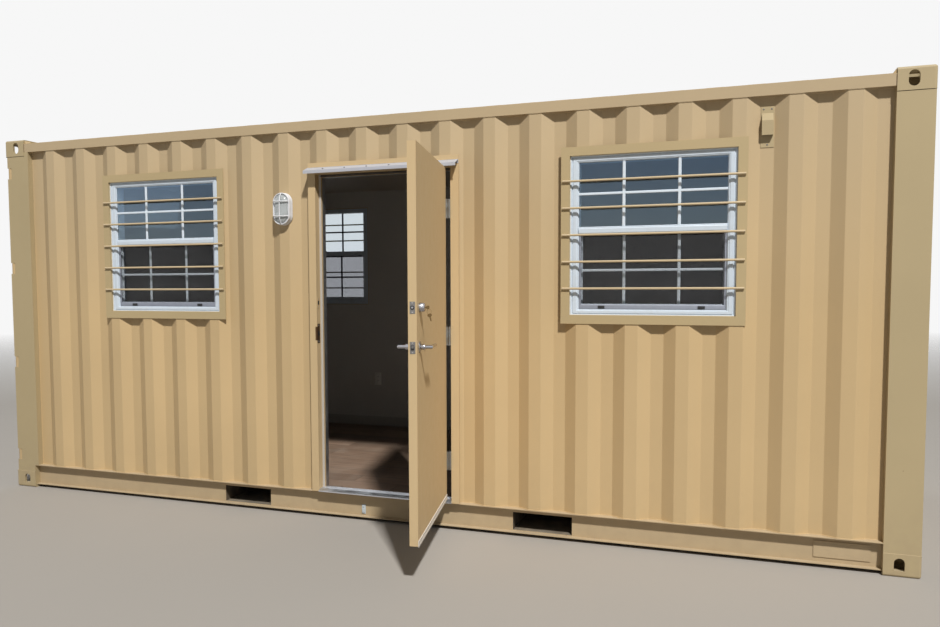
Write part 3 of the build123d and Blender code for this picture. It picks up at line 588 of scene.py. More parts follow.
WALL_PAINT = Enamel("wall_paint", PAINT, streaks=0.06, soil=0.16, soil_top=0.5, top_greying=0.55)
FRAME_PAINT = Enamel(
    "frame_paint",
    (0.43, 0.345, 0.20),
    streaks=0.05,
    soil=0.42,
    soil_top=0.45,
    chips=0.5,
    dent=0.0005,
)
RAIL_PAINT = replace(
    FRAME_PAINT, name="rail_paint", colour=(0.47, 0.365, 0.225), soil=0.35, soil_top=0.35
)
ROOF_PAINT = Enamel(
    "roof_paint", shaded(PAINT, 0.94), fade=0.09, streaks=0.0, soil=0.0, dust=0.65, roughness=0.62
)
# Door beige: the door's own paint, made lighter as painted light that stands in for light bounced
# onto the leaf.
DOOR_PAINT_LIGHTENED = Enamel(
    "door_paint", (0.575, 0.43, 0.242), fade=0.03, streaks=0.03, soil=0.3, soil_top=0.5, dent=0.0004
)
BAR_PAINT = Enamel("bar_paint", (0.46, 0.36, 0.20), fade=0.04, soil=0.0, streaks=0.0, dent=0.0)
# Lighter copy of the bar paint on the round bars: a painted highlight along them.
HIGHLIT_ROD_PAINT = replace(BAR_PAINT, name="rod_paint", colour=(0.55, 0.44, 0.28))
CARGO_PAINT = Enamel(
    "cargo_paint", shaded(PAINT, 0.95), fade=0.08, streaks=0.2, soil=0.5, soil_top=0.8, chips=0.9
)
BASE_STEEL = Enamel(
    "base_steel", (0.045, 0.04, 0.036), fade=0.25, soil=0.5, soil_top=0.4, chips=1.0, roughness=0.62
)
RUSTY_WELD = Enamel(
    "rusty_weld", (0.20, 0.13, 0.075), fade=0.35, soil=0.0, chips=1.0, roughness=0.75, dent=0.0
)
# Brown-black used as painted shade: under the overhang of the top castings and in the vent hood's
# throat.
SHADE_BROWN = Rubber("joint_seal", (0.035, 0.025, 0.018), bloom=(0.09, 0.07, 0.05))
SEAL_RUBBER = Rubber("seal_rubber", (0.022, 0.022, 0.022))
# Near black for holes: painted shade in pockets and slots.
HOLE_SHADE = Rubber("dark_hole", (0.006, 0.005, 0.005), bloom=(0.02, 0.018, 0.016))
DECK_PLY = Plywood("deck_ply", (0.33, 0.2, 0.11))
FLOOR_PLANKS = PlankFloor("floor_planks", (0.28, 0.19, 0.135))
ROOM_BOARD = WallBoard("room_board", (0.54, 0.52, 0.48))
CEILING_BOARD = WallBoard("ceiling_board", (0.46, 0.41, 0.34), pebble=0.0006)
SKIRTING = Moulding("skirting", (0.42, 0.40, 0.37), roughness=0.45)
OUTLET = Moulding("outlet_plastic", (0.82, 0.81, 0.76), soil=0.1)
VINYL = Moulding("window_vinyl", (0.60, 0.68, 0.765))
MUNTIN = Moulding("muntin_white", (0.68, 0.76, 0.84), soil=0.05, roughness=0.28)
LATCH_BLACK = Moulding("latch_black", (0.012, 0.012, 0.013), soil=0.05, roughness=0.4)
SCREEN_RAIL = Metal("screen_rail", (0.30, 0.32, 0.37), roughness=0.5, brush=(0.04, 1.0, 1.0))
SCREEN_MESH = Moulding("screen_mesh", (0.008, 0.008, 0.009), roughness=0.7, specular=0.05)
CAULK = Moulding("caulk", (0.66, 0.62, 0.54), soil=0.25, roughness=0.5)
WINDOW_GLASS = Pane("window_glass")
# Upper glass with a painted reflection: its bluish tint and specular tint stand in for the sky
# mirrored in it.
SKY_TINTED_UPPER_GLASS = Pane(
    "upper_glass",
    tint=(0.72, 0.82, 0.90),
    reflection_tint=(0.66, 0.86, 1.0),
    reflection_tint_top=(0.48, 0.70, 1.0),
    specular=1.0,
    index=1.75,
)
# Lower glass tinted dark and nearly without reflection: painted shade over the lower light.
SHADED_LOWER_GLASS = Pane("lower_glass", tint=(0.385, 0.40, 0.435), specular=0.05)
JAR_GLASS = JarGlass("jar_glass")
STUD_STEEL = Metal("stud_steel", (0.55, 0.56, 0.57), roughness=0.42)
MILL_ALUMINIUM = Metal(
    "mill_aluminium", (0.62, 0.64, 0.68), roughness=0.36, brush=(0.03, 1.0, 1.0), haze=0.25
)
# Grey of the drip cap, partly its own metal and partly tinted bluish as a painted reflection of the
# sky on its slope.
SKY_TINTED_FLASHING = Moulding("flashing", (0.46, 0.475, 0.525), soil=0.2, roughness=0.42)
SWEEP_ALLOY = Moulding("sweep_alloy", (0.68, 0.65, 0.61), soil=0.15, roughness=0.40)
CLIP_STEEL = Moulding("clip_steel", (0.50, 0.56, 0.60), soil=0.3, roughness=0.45)
SATIN_STEEL = Metal(
    "satin_steel", (0.27, 0.275, 0.27), roughness=0.32, brush=(1.0, 1.0, 0.05), haze=0.45
)
SATIN_CHROME = Metal("satin_chrome", (0.42, 0.415, 0.435), roughness=0.12, haze=0.08)
DULL_STEEL = Metal("dull_steel", (0.24, 0.23, 0.22), roughness=0.42, haze=0.4)
SCREW_STEEL = Metal("screw_steel", (0.42, 0.41, 0.40), roughness=0.38, haze=0.35)
BRONZE = Metal("bronze", (0.22, 0.145, 0.065), roughness=0.36, haze=0.3)
STRIKE_BROWN = Metal("strike_brown", (0.13, 0.075, 0.04), roughness=0.45, haze=0.4)
WEATHERSTRIP = Moulding("weatherstrip", (0.49, 0.465, 0.42), roughness=0.6)
# Same weatherstrip as the jambs, made dark brown as painted shade under the head.
HEAD_SEAL_SHADE = Rubber("head_seal", (0.05, 0.042, 0.034), bloom=(0.11, 0.09, 0.07))
HOUSING_WHITE = Moulding("housing_white", (0.74, 0.75, 0.78), soil=0.2, roughness=0.3)

FINISHED_NODES: dict[Finish, str] = {
    FRAME_PAINT: (
        "bottom_corner_castings top_corner_castings front_corner_posts rear_corner_posts "
        "front_end_rails cargo_end_rails vent_cover"
    ),
    RAIL_PAINT: "top_side_rails bottom_side_rails",
    WALL_PAINT: "front_wall_left front_wall_over_door front_wall_right back_wall end_wall",
    ROOF_PAINT: "roof_panel",
    BASE_STEEL: "cross_members fork_pockets",
    DECK_PLY: "floor_deck",
    FLOOR_PLANKS: "floor_covering",
    ROOM_BOARD: "lining_front_left lining_over_door lining_front_right lining_back lining_ends",
    CEILING_BOARD: "ceiling",
    SKIRTING: "baseboards",
    OUTLET: "wall_outlet",
    BAR_PAINT: "window_surrounds",
    VINYL: "window_frames window_sashes",
    WINDOW_GLASS: "window_glass",
    HIGHLIT_ROD_PAINT: "window_bars",
    DOOR_PAINT_LIGHTENED: "door_jambs door_head door_leaf",
    STUD_STEEL: "door_studs",
    MILL_ALUMINIUM: "door_threshold",
    SKY_TINTED_FLASHING: "drip_cap",
    SWEEP_ALLOY: "door_sweep",
    SATIN_STEEL: "jamb_hinges leaf_hinges",
    SATIN_CHROME: "lock_trim lever_set",
    CARGO_PAINT: "cargo_doors lock_bars cargo_hinges",
    SEAL_RUBBER: "cargo_door_seals",
    HOUSING_WHITE: "light_base light_guard",
    JAR_GLASS: "light_lens",
}


# Mesh shapes


class Shell:
    """Points and faces of one piece, gathered from closed solids."""

    def __init__(self) -> None:
        """Start with nothing."""
        self.points: list[Vector] = []
        self.faces: list[list[int]] = []

    def loft(self, rings: Sequence[Sequence[Vector]], closed: bool = False) -> "Shell":
        """Skin rings of equal count in order, with caps unless the rings close.

        Args:
            rings: Loops of points.
            closed: Whether the last ring joins the first.

        Returns:
            This shell.
        """
        base, count = len(self.points), len(rings[0])
        self.points += [Vector(point) for ring in rings for point in ring]
        for r in range(len(rings) if closed else len(rings) - 1):
            a, b = base + r * count, base + (r + 1) % len(rings) * count
            for i in range(count):
                after = (i + 1) % count
                self.faces.append([a + i, a + after, b + after, b + i])
        if not closed:
            last = base + (len(rings) - 1) * count
            self.faces += [list(range(base, base + count))[::-1], list(range(last, last + count))]
        return self

    def block(self, x: Range, y: Range, z: Range) -> "Shell":
        """Add a box between three ranges."""
        corners = [(x[0], y[0]), (x[1], y[0]), (x[1], y[1]), (x[0], y[1])]
        return self.loft([[Vector((u, v, level)) for u, v in corners] for level in z])

    def prism(self, outline: Sequence[Range], place: Matrix, depth: float) -> "Shell":
        """Add an outline in a place's first two axes, raised along its third."""
        return self.loft([[place @ Vector((u, v, w)) for u, v in outline] for w in (0.0, depth)])

    def turned(self, profile: Sequence[Range], place: Matrix, steps: int = 24) -> "Shell":
        """Add a solid turned about a place's third axis.

        Args:
            profile: Points (radius, height) from one pole to the other.
            place: Place of the solid.
            steps: Sides once round.

        Returns:
            This shell.
        """
        angles = circle_angles(steps)
        rings = []
        for radius, height in profile:
            r = max(radius, POLE_RADIUS)
            ring = [Vector((r * math.cos(a), r * math.sin(a), height)) for a in angles]
            rings.append([place @ point for point in ring])
        return self.loft(rings)

    def disc(self, radius: float, height: float, place: Matrix, steps: int = 24) -> "Shell":
        """Add a plain disc on a place."""
        profile = [(0.0, 0.0), (radius, 0.0), (radius, height), (0.0, height)]
        return self.turned(profile, place, steps)

    def hoop(self, profile: Sequence[Range], place: Matrix, steps: int) -> "Shell":
        """Add a ring with a hole, its closed profile turned about a place's third axis."""
        turns = [place @ Matrix.Rotation(angle, 4, "Z") for angle in circle_angles(steps)]
        return self.loft([[turn @ Vector((r, 0.0, h)) for r, h in profile] for turn in turns], True)

    def pipe(
        self, path: Sequence[Vector], radius: float, sides: int = 8, closed: bool = False
    ) -> "Shell":
        """Add a round bar along a path that lies in one plane or nearly so.

        Args:
            path: Points of its middle line.
            radius: Radius of the bar.
            sides: Sides once round.
            closed: Whether its end joins its start.

        Returns:
            This shell.
        """
        rings = []
        across = Vector()
        for i, point in enumerate(path):
            before = path[i - 1] if i or closed else point
            after = path[(i + 1) % len(path)] if i < len(path) - 1 or closed else point
            ahead = (Vector(after) - Vector(before)).normalized()
            across = across - ahead * across.dot(ahead) if rings else ahead.orthogonal()
            across.normalize()
            upward = ahead.cross(across)
            sums = [math.cos(a) * across + math.sin(a) * upward for a in circle_angles(sides)]
            rings.append([Vector(point) + radius * out for out in sums])
        return self.loft(rings, closed)

    def moved(self, matrix: Matrix) -> "Shell":
        """Carry every point by a matrix."""
        self.points = [matrix @ point for point in self.points]
        return self

    def mesh(self, name: str) -> bpy.types.Mesh:
        """The shell as a mesh whose faces point outwards.

        Args:
            name: Name of the mesh.

        Returns:
            The mesh.
        """
        mesh = bpy.data.meshes.new(name)
        mesh.from_pydata([tuple(point) for point in self.points], [], self.faces)
        work = bmesh.new()
        work.from_mesh(mesh)
        bmesh.ops.remove_doubles(work, verts=work.verts, dist=MERGE_DISTANCE)
        bmesh.ops.recalc_face_normals(work, faces=work.faces)
        work.to_mesh(mesh)
        work.free()
        return mesh


def circle_angles(steps: int) -> list[float]:
    """Even angles once round."""
    return [2.0 * math.pi * i / steps for i in range(steps)]


def about(middle: float, half: float) -> Range:
    """Range about a middle."""
    return (middle - half, middle + half)


def wall_place(x: float, y: float, z: float) -> Matrix:
    """Place on a face of the near wall: right, up, and out to -Y."""
    return Matrix(((1, 0, 0, x), (0, 0, -1, y), (0, 1, 0, z), (0, 0, 0, 1)))


def axis_place(point: Sequence[float], direction: Sequence[float]) -> Matrix:
    """Place at a point whose third axis lies along a direction."""
    turn = Vector(direction).to_track_quat("Z", "Y").to_matrix().to_4x4()
    return Matrix.Translation(Vector(point)) @ turn


def slot_outline(tall: float, wide: float, steps: int = 12) -> list[Range]:
    """Upright slot shape about the middle.

    Args:
        tall: Height over its round ends.
        wide: Width.
        steps: Sides of each round end.

    Returns:
        Points (across, up).
    """
    radius = wide / 2
    straight = tall / 2 - radius
    top = [math.pi * i / steps for i in range(steps + 1)]
    upper = [(radius * math.cos(a), straight + radius * math.sin(a)) for a in top]
    return upper + [(-u, -v) for u, v in upper]


def made(
    name: str,
    shape: Shell | bpy.types.Mesh,
    finish: Finish,
    slot: str,
    *stands_for: str,
    bevel: float = 0.0,
    smooth: float = SMOOTH_ANGLE,
    body: Body = Body.CONTAINER,
) -> Object:
    """Make one dressed piece at the origin, on its body and in its material slot.

    Args:
        name: Name of the piece.
        shape: Shell or finished mesh.
        finish: Its finish.
        slot: Material slot of the record.
        *stands_for: Frame nodes that it replaces.
        bevel: Width of rounded edges, or 0 for none.
        smooth: Angle in degrees under which faces shade as one.
        body: Body that it rides on.

    Returns:
        The new object.
    """
    mesh = shape.mesh(name) if isinstance(shape, Shell) else shape
    if not mesh.materials:
        mesh.materials.append(finish.material())
    mesh.polygons.foreach_set("use_smooth", [True] * len(mesh.polygons))
    mesh.set_sharp_from_angle(angle=math.radians(smooth))
    piece = bpy.data.objects.new(name, mesh)
    bpy.context.scene.collection.objects.link(piece)
    if bevel:
        rounding = piece.modifiers.new("edges", "BEVEL")
        rounding.width = bevel
        rounding.segments = BEVEL_SEGMENTS
        rounding.limit_method = "ANGLE"
        rounding.angle_limit = BEVEL_ANGLE
    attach(piece, body.value)
    if stands_for:
        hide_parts(*stands_for)
    LOG.info("%s: %d faces on %s", name, len(mesh.polygons), body.value)
    return piece


def on_leaf(name: str, shell: Shell, finish: Finish, *slot: str, bevel: float = 0.0) -> Object:
    """Make a piece of the open leaf, in its slot, from its shape on the shut door."""
    return made(name, shell.moved(TO_OPEN), finish, *slot, bevel=bevel, body=Body.DOOR)


# Geometry Nodes trees for what repeats or follows a path


class Tree(Graph):
    """A Geometry Nodes tree with named inputs, grown on a mesh that is kept plain."""

    def __init__(self, name: str) -> None:
        """Start a tree with one geometry output.

        Args:
            name: Name of the tree.
        """
        self.group = bpy.data.node_groups.new(name, "GeometryNodeTree")
        sockets = self.group.interface
        sockets.new_socket("Geometry", in_out="OUTPUT", socket_type="NodeSocketGeometry")
        super().__init__(self.group)
        self.entry = self.nodes.new("NodeGroupInput")
        self.identifiers: dict[str, str] = {}

    def ask(self, name: str, kind: str) -> Socket:
        """Add a named input.

        Args:
            name: Name of the input.
            kind: Kind of socket, such as Float.

        Returns:
            The input as a socket inside the tree.
        """
        sockets = self.group.interface
        socket = sockets.new_socket(name, in_out="INPUT", socket_type=f"NodeSocket{kind}")
        self.identifiers[name] = socket.identifier
        return self.entry.outputs[name]

    def copies(self, points: Socket, **inputs: Socket) -> Socket:
        """Instances of the shape that the tree is given, one on each point.

        Args:
            points: Points that carry them.
            **inputs: Further inputs of the instances.

        Returns:
            The instances.
        """
        shape = self.add("GeometryNodeObjectInfo", {"Object": self.ask("Shape", "Object")})
        placed = {"Points": points, "Instance": shape.outputs["Geometry"], **inputs}
        return self.add("GeometryNodeInstanceOnPoints", placed).outputs[0]

    def close(self, geometry: Socket) -> "Tree":
        """End the tree in realised, dressed geometry.

        Args:
            geometry: Geometry to end in.

        Returns:
            This tree.
        """
        real = self.add("GeometryNodeRealizeInstances", {"Geometry": geometry})
        inputs = {"Geometry": real.outputs[0], "Material": self.ask("Material", "Material")}
        dressed = self.add("GeometryNodeSetMaterial", inputs)
        way_out = self.nodes.new("NodeGroupOutput")
        self.links.new(dressed.outputs[0], way_out.inputs[0])
        return self

    def grow(self, name: str, mesh: bpy.types.Mesh, values: dict[str, object]) -> bpy.types.Mesh:
        """Run the tree on a mesh.

        Args:
            name: Name of the new mesh.
            mesh: Mesh that feeds the tree.
            values: Inputs of the tree by name, a shape among them as a shell.

        Returns:
            The result as a plain mesh.
        """
        carrier = bpy.data.objects.new(name, mesh)
        modifier = carrier.modifiers.new("grow", "NODES")
        modifier.node_group = self.group
        bpy.context.scene.collection.objects.link(carrier)
        spares = [carrier]
        for key, value in values.items():
            if isinstance(value, Shell):
                value = bpy.data.objects.new(f"{name}_shape", value.mesh(f"{name}_shape"))
                bpy.context.scene.collection.objects.link(value)
                spares.append(value)
            modifier[self.identifiers[key]] = value
        depsgraph = bpy.context.evaluated_depsgraph_get()
        evaluated = carrier.evaluated_get(depsgraph)
        grown = bpy.data.meshes.new_from_object(evaluated, depsgraph=depsgraph)
        grown.name = name
        for spare in spares:
            bpy.data.objects.remove(spare)
        return grown


RISES = 4
MOST_OPENINGS = 3
RINGS_PER_RIPPLE = 4.0
BEAD_SIDES = 6
OPENING_TESTS = (
    ("X", "Start", "GREATER_THAN"),
    ("X", "End", "LESS_THAN"),
    ("Z", "Foot", "GREATER_THAN"),
    ("Z", "Head", "LESS_THAN"),
)


def line_mesh(lines: Iterable[Sequence[Vector]]) -> bpy.types.Mesh:
    """Mesh of open lines.

    Args:
        lines: Runs of points.

    Returns:
        The mesh, of points and edges alone.
    """
    points: list[tuple[float, ...]] = []
    edges: list[tuple[int, int]] = []
    for line in lines:
        start = len(points)
        points += [tuple(point) for point in line]
        edges += [(start + i, start + i + 1) for i in range(len(line) - 1)]
    mesh = bpy.data.meshes.new("lines")
    mesh.from_pydata(points, edges, [])
    return mesh


def pressed_tree() -> Tree:
    """Sheet raised from a bent line in bands, with square openings cut in it.

    Returns:
        The tree.
    """
    tree = Tree("pressed_sheet")
    curve = tree.add("GeometryNodeMeshToCurve", {"Mesh": tree.ask("Line", "Geometry")}).outputs[0]
    steps, radius = tree.ask("Bend Steps", "Int"), tree.ask("Bend Radius", "Float")
    inputs = {"Curve": curve, "Count": steps, "Radius": radius, "Limit Radius": True}
    rounded = tree.add("GeometryNodeFilletCurve", inputs, mode="POLY").outputs[0]
    edges = tree.add("GeometryNodeCurveToMesh", {"Curve": rounded}).outputs[0]
    inputs = {"Geometry": edges, "Distance": tree.ask("Merge Distance", "Float")}
    sheet = tree.add("GeometryNodeMergeByDistance", inputs).outputs[0]
    inputs = {}
    for band in range(RISES):
        rise = tree.ask(f"Rise {band + 1}", "Float")
        offset = tree.add("ShaderNodeCombineXYZ", {"Z": rise}).outputs[0]
        inputs |= {"Mesh": sheet, "Offset": offset, "Offset Scale": 1.0}
        raised = tree.add("GeometryNodeExtrudeMesh", inputs, mode="EDGES")
        sheet, inputs = raised.outputs["Mesh"], {"Selection": raised.outputs["Top"]}
    place = tree.add("GeometryNodeInputPosition", {}).outputs[0]
    places = tree.add("ShaderNodeSeparateXYZ", {"Vector": place}).outputs
    for opening in range(MOST_OPENINGS):
        inside = 1.0
        for letter, edge, test in OPENING_TESTS:
            limit = tree.ask(f"Opening {opening + 1} {edge}", "Float")
            inside = tree.math("MULTIPLY", inside, tree.math(test, places[letter], limit))
        inputs = {"Geometry": sheet, "Selection": inside}
        sheet = tree.add("GeometryNodeDeleteGeometry", inputs, domain="FACE", mode="ALL").outputs[0]
    return tree.close(sheet)


def bead_tree() -> Tree:
    """Rippled bead along lines, such as a weld or a run of sealant.

    Returns:
        The tree.
    """
    tree = Tree("bead")
    curve = tree.add("GeometryNodeMeshToCurve", {"Mesh": tree.ask("Line", "Geometry")}).outputs[0]
    pitch = tree.ask("Ripple Pitch", "Float")
    inputs = {"Curve": curve, "Length": tree.math("DIVIDE", pitch, RINGS_PER_RIPPLE)}
    even = tree.add("GeometryNodeResampleCurve", inputs, mode="LENGTH").outputs[0]
    length = tree.add("GeometryNodeSplineParameter", {}).outputs["Length"]
    turn = tree.math("MULTIPLY", tree.math("DIVIDE", length, pitch), 2.0 * math.pi)
    wave = tree.math("MULTIPLY", tree.math("SINE", turn), tree.ask("Ripple", "Float"))
    inputs = {"Min_001": -1.0, "Max_001": 1.0, "Seed": tree.ask("Seed", "Int")}
    chance = tree.add("FunctionNodeRandomValue", inputs, data_type="FLOAT").outputs[1]
    uneven = tree.math("MULTIPLY", chance, tree.ask("Unevenness", "Float"))
    size = tree.math("ADD", tree.math("ADD", wave, uneven), 1.0)
    circle = {"Resolution": BEAD_SIDES, "Radius": tree.ask("Bead Radius", "Float")}
    profile = tree.add("GeometryNodeCurvePrimitiveCircle", circle).outputs["Curve"]
    inputs = {"Curve": even, "Profile Curve": profile, "Scale": size, "Fill Caps": True}
    return tree.close(tree.add("GeometryNodeCurveToMesh", inputs).outputs[0])


def scatter_tree() -> Tree:
    """Copies of a shape at points, each facing its own way and turned at random.

    Returns:
        The tree.
    """
    tree = Tree("scatter")
    points = tree.ask("Points", "Geometry")
    aim = tree.add("GeometryNodeInputNamedAttribute", {"Name": "aim"}, data_type="FLOAT_VECTOR")
    inputs = {"Vector": aim.outputs[0]}
    facing = tree.add("FunctionNodeAlignRotationToVector", inputs, axis="Z").outputs[0]
    copies = tree.copies(points, Rotation=facing)
    inputs = {"Min_001": 0.0, "Max_001": tree.ask("Spin", "Float"), "Seed": tree.ask("Seed", "Int")}
    spin = tree.add("FunctionNodeRandomValue", inputs, data_type="FLOAT").outputs[1]
    turn = tree.add("ShaderNodeCombineXYZ", {"Z": spin}).outputs[0]
    turned = tree.add("GeometryNodeRotateInstances", {"Instances": copies, "Rotation": turn})
    return tree.close(turned.outputs[0])


def row_tree() -> Tree:
    """Even row of copies of a shape.

    Returns:
        The tree.
    """
    tree = Tree("row")
    inputs = {
        "Count": tree.ask("Count", "Int"),
        "Start Location": tree.ask("Start", "Vector"),
        "Offset": tree.ask("Step", "Vector"),
    }
    line = tree.add("GeometryNodeMeshLine", inputs, mode="OFFSET", count_mode="TOTAL").outputs[0]
    return tree.close(tree.copies(line))


@dataclass
class Workshop:
    """Trees that the sub-assemblies share, and calls that make a piece with each."""

    pressed: Tree
    beads: Tree
    scatters: Tree
    rows: Tree
    ripple: float = 0.12
    unevenness: float = 0.08
    bead_seed: int = 7
    spin_seed: int = 11
    bead_smooth: float = 80.0

    @classmethod
    def opened(cls) -> "Workshop":
        """A workshop with its trees built."""
        return cls(pressed_tree(), bead_tree(), scatter_tree(), row_tree())

    def bead(
        self,
        name: str,
        lines: Iterable[Sequence[Vector]],
        radius: float,
        finish: Finish,
        slot: str,
        pitch: float = 0.024,
    ) -> Object:
        """A welded or gunned bead along lines.

        Args:
            name: Name of the piece.
            lines: Runs of points.
            radius: Radius of the bead.
            finish: Its finish.
            slot: Material slot of the record.
            pitch: Length of one ripple.

        Returns:
            The bead, on the container.
        """
        values = {
            "Ripple Pitch": pitch,
            "Ripple": self.ripple,
            "Unevenness": self.unevenness,
            "Seed": self.bead_seed,
            "Bead Radius": radius,
            "Material": finish.material(),
        }
        mesh = self.beads.grow(name, line_mesh(lines), values)
        return made(name, mesh, finish, slot, smooth=self.bead_smooth)

    def scatter(
        self,
        name: str,
        shape: Shell,
        finish: Finish,
        slot: str,
        spots: Sequence[Spot],
        body: Body = Body.CONTAINER,
    ) -> Object:
        """Copies of a shape at spots, each facing its own way.

        Args:
            name: Name of the piece.
            shape: Shape to copy.
            finish: Its finish.
            slot: Material slot of the record.
            spots: Pairs of place and direction.
            body: Body that they ride on.

        Returns:
            The copies as one piece.
        """
        mesh = line_mesh([point] for point, aim in spots)
        aims = mesh.attributes.new("aim", "FLOAT_VECTOR", "POINT")
        aims.data.foreach_set("vector", [part for point, aim in spots for part in aim])
        values = {"Shape": shape, "Seed": self.spin_seed, "Spin": 2.0 * math.pi}
        values["Material"] = finish.material()
        return made(name, self.scatters.grow(name, mesh, values), finish, slot, body=body)

    def row(self, name: str, shape: Shell, finish: Finish, slot: str, **line: object) -> Object:
        """Even row of copies of a shape, by its Count, Start and Step."""
        values = {"Shape": shape, "Material": finish.material(), **line}
        return made(name, self.rows.grow(name, bpy.data.meshes.new("empty"), values), finish, slot)


SCREW_PROFILE = (
    ((0.0, 0.35), (0.34, 0.4), (0.46, 1.0), (0.72, 0.9))
    + ((0.97, 0.3), (1.0, 0.0), (0.0, 0.0))
)


def screw_head(radius: float, rise: float) -> Shell:
    """Round head with a driver's recess, seated on its own origin."""
    profile = [(out * radius, up * rise) for out, up in SCREW_PROFILE]
    return Shell().turned(profile, UPRIGHT, 12)


def hex_head(across: float, rise: float) -> Shell:
    """Hexagonal bolt head on a round washer."""
    hexagon = [(across / 1.9, 0.2 * rise), (across / 1.9, 0.9 * rise), (across / 2.3, rise)]
    return Shell().disc(0.62 * across, 0.2 * rise, UPRIGHT, 16).turned(hexagon, UPRIGHT, 6)


# Skin


@dataclass
class Corrugation:
    """Rule of a pressed sheet: where its troughs lie and how deep they are."""

    first: float
    pitch: float
    count: int
    trough: float
    slope: float
    depth: float
    seat: float = 0.00005

    def depth_at(self, place: float) -> float:
        """Depth below the crests.

        Args:
            place: Place along the sheet.

        Returns:
            The depth there.
        """
        last = self.first + (self.count - 1) * self.pitch
        held = min(max(place, self.first), last)
        off = abs((held - self.first + self.pitch / 2) % self.pitch - self.pitch / 2)
        return self.depth * min(1.0, max(0.0, (self.trough / 2 + self.slope - off) / self.slope))

    def bends(self, start: float, end: float, extra: Sequence[float] = ()) -> list[Range]:
        """Places and depths of the bends between two limits, with any extra places.

        Args:
            start: First limit.
            end: Last limit.
            extra: Further places that need a point, seated a hair deeper than the sheet.

        Returns:
            Pairs of place and depth in order.
        """
        last = self.first + (self.count - 1) * self.pitch
        found = set()
        for i in range(self.count):
            middle = self.first + i * self.pitch
            reaches = (self.trough / 2, self.trough / 2 + self.slope)
            found |= {middle + way * reach for way in (-1, 1) for reach in reaches}
        inner = {p for p in found if self.first < p < last} | set(extra)
        places = [start, *sorted(p for p in inner if start < p < end), end]
        seats = [self.seat if place in extra else 0.0 for place in places]
        return [(place, self.depth_at(place) + seat) for place, seat in zip(places, seats)]


def thickened(mesh: bpy.types.Mesh, sheet: float) -> bpy.types.Mesh:
    """Give a sheet its thickness behind its outer face.

    Args:
        mesh: Mesh of the outer face.
        sheet: Thickness.

    Returns:
        The same mesh.
    """
    work = bmesh.new()
    work.from_mesh(mesh)
    bmesh.ops.solidify(work, geom=work.faces, thickness=sheet)
    bmesh.ops.recalc_face_normals(work, faces=work.faces)
    work.to_mesh(mesh)
    work.free()
    return mesh


@dataclass(frozen=True)
class Opening:
    """Square opening in a wall sheet."""

    x: Range
    z: Range


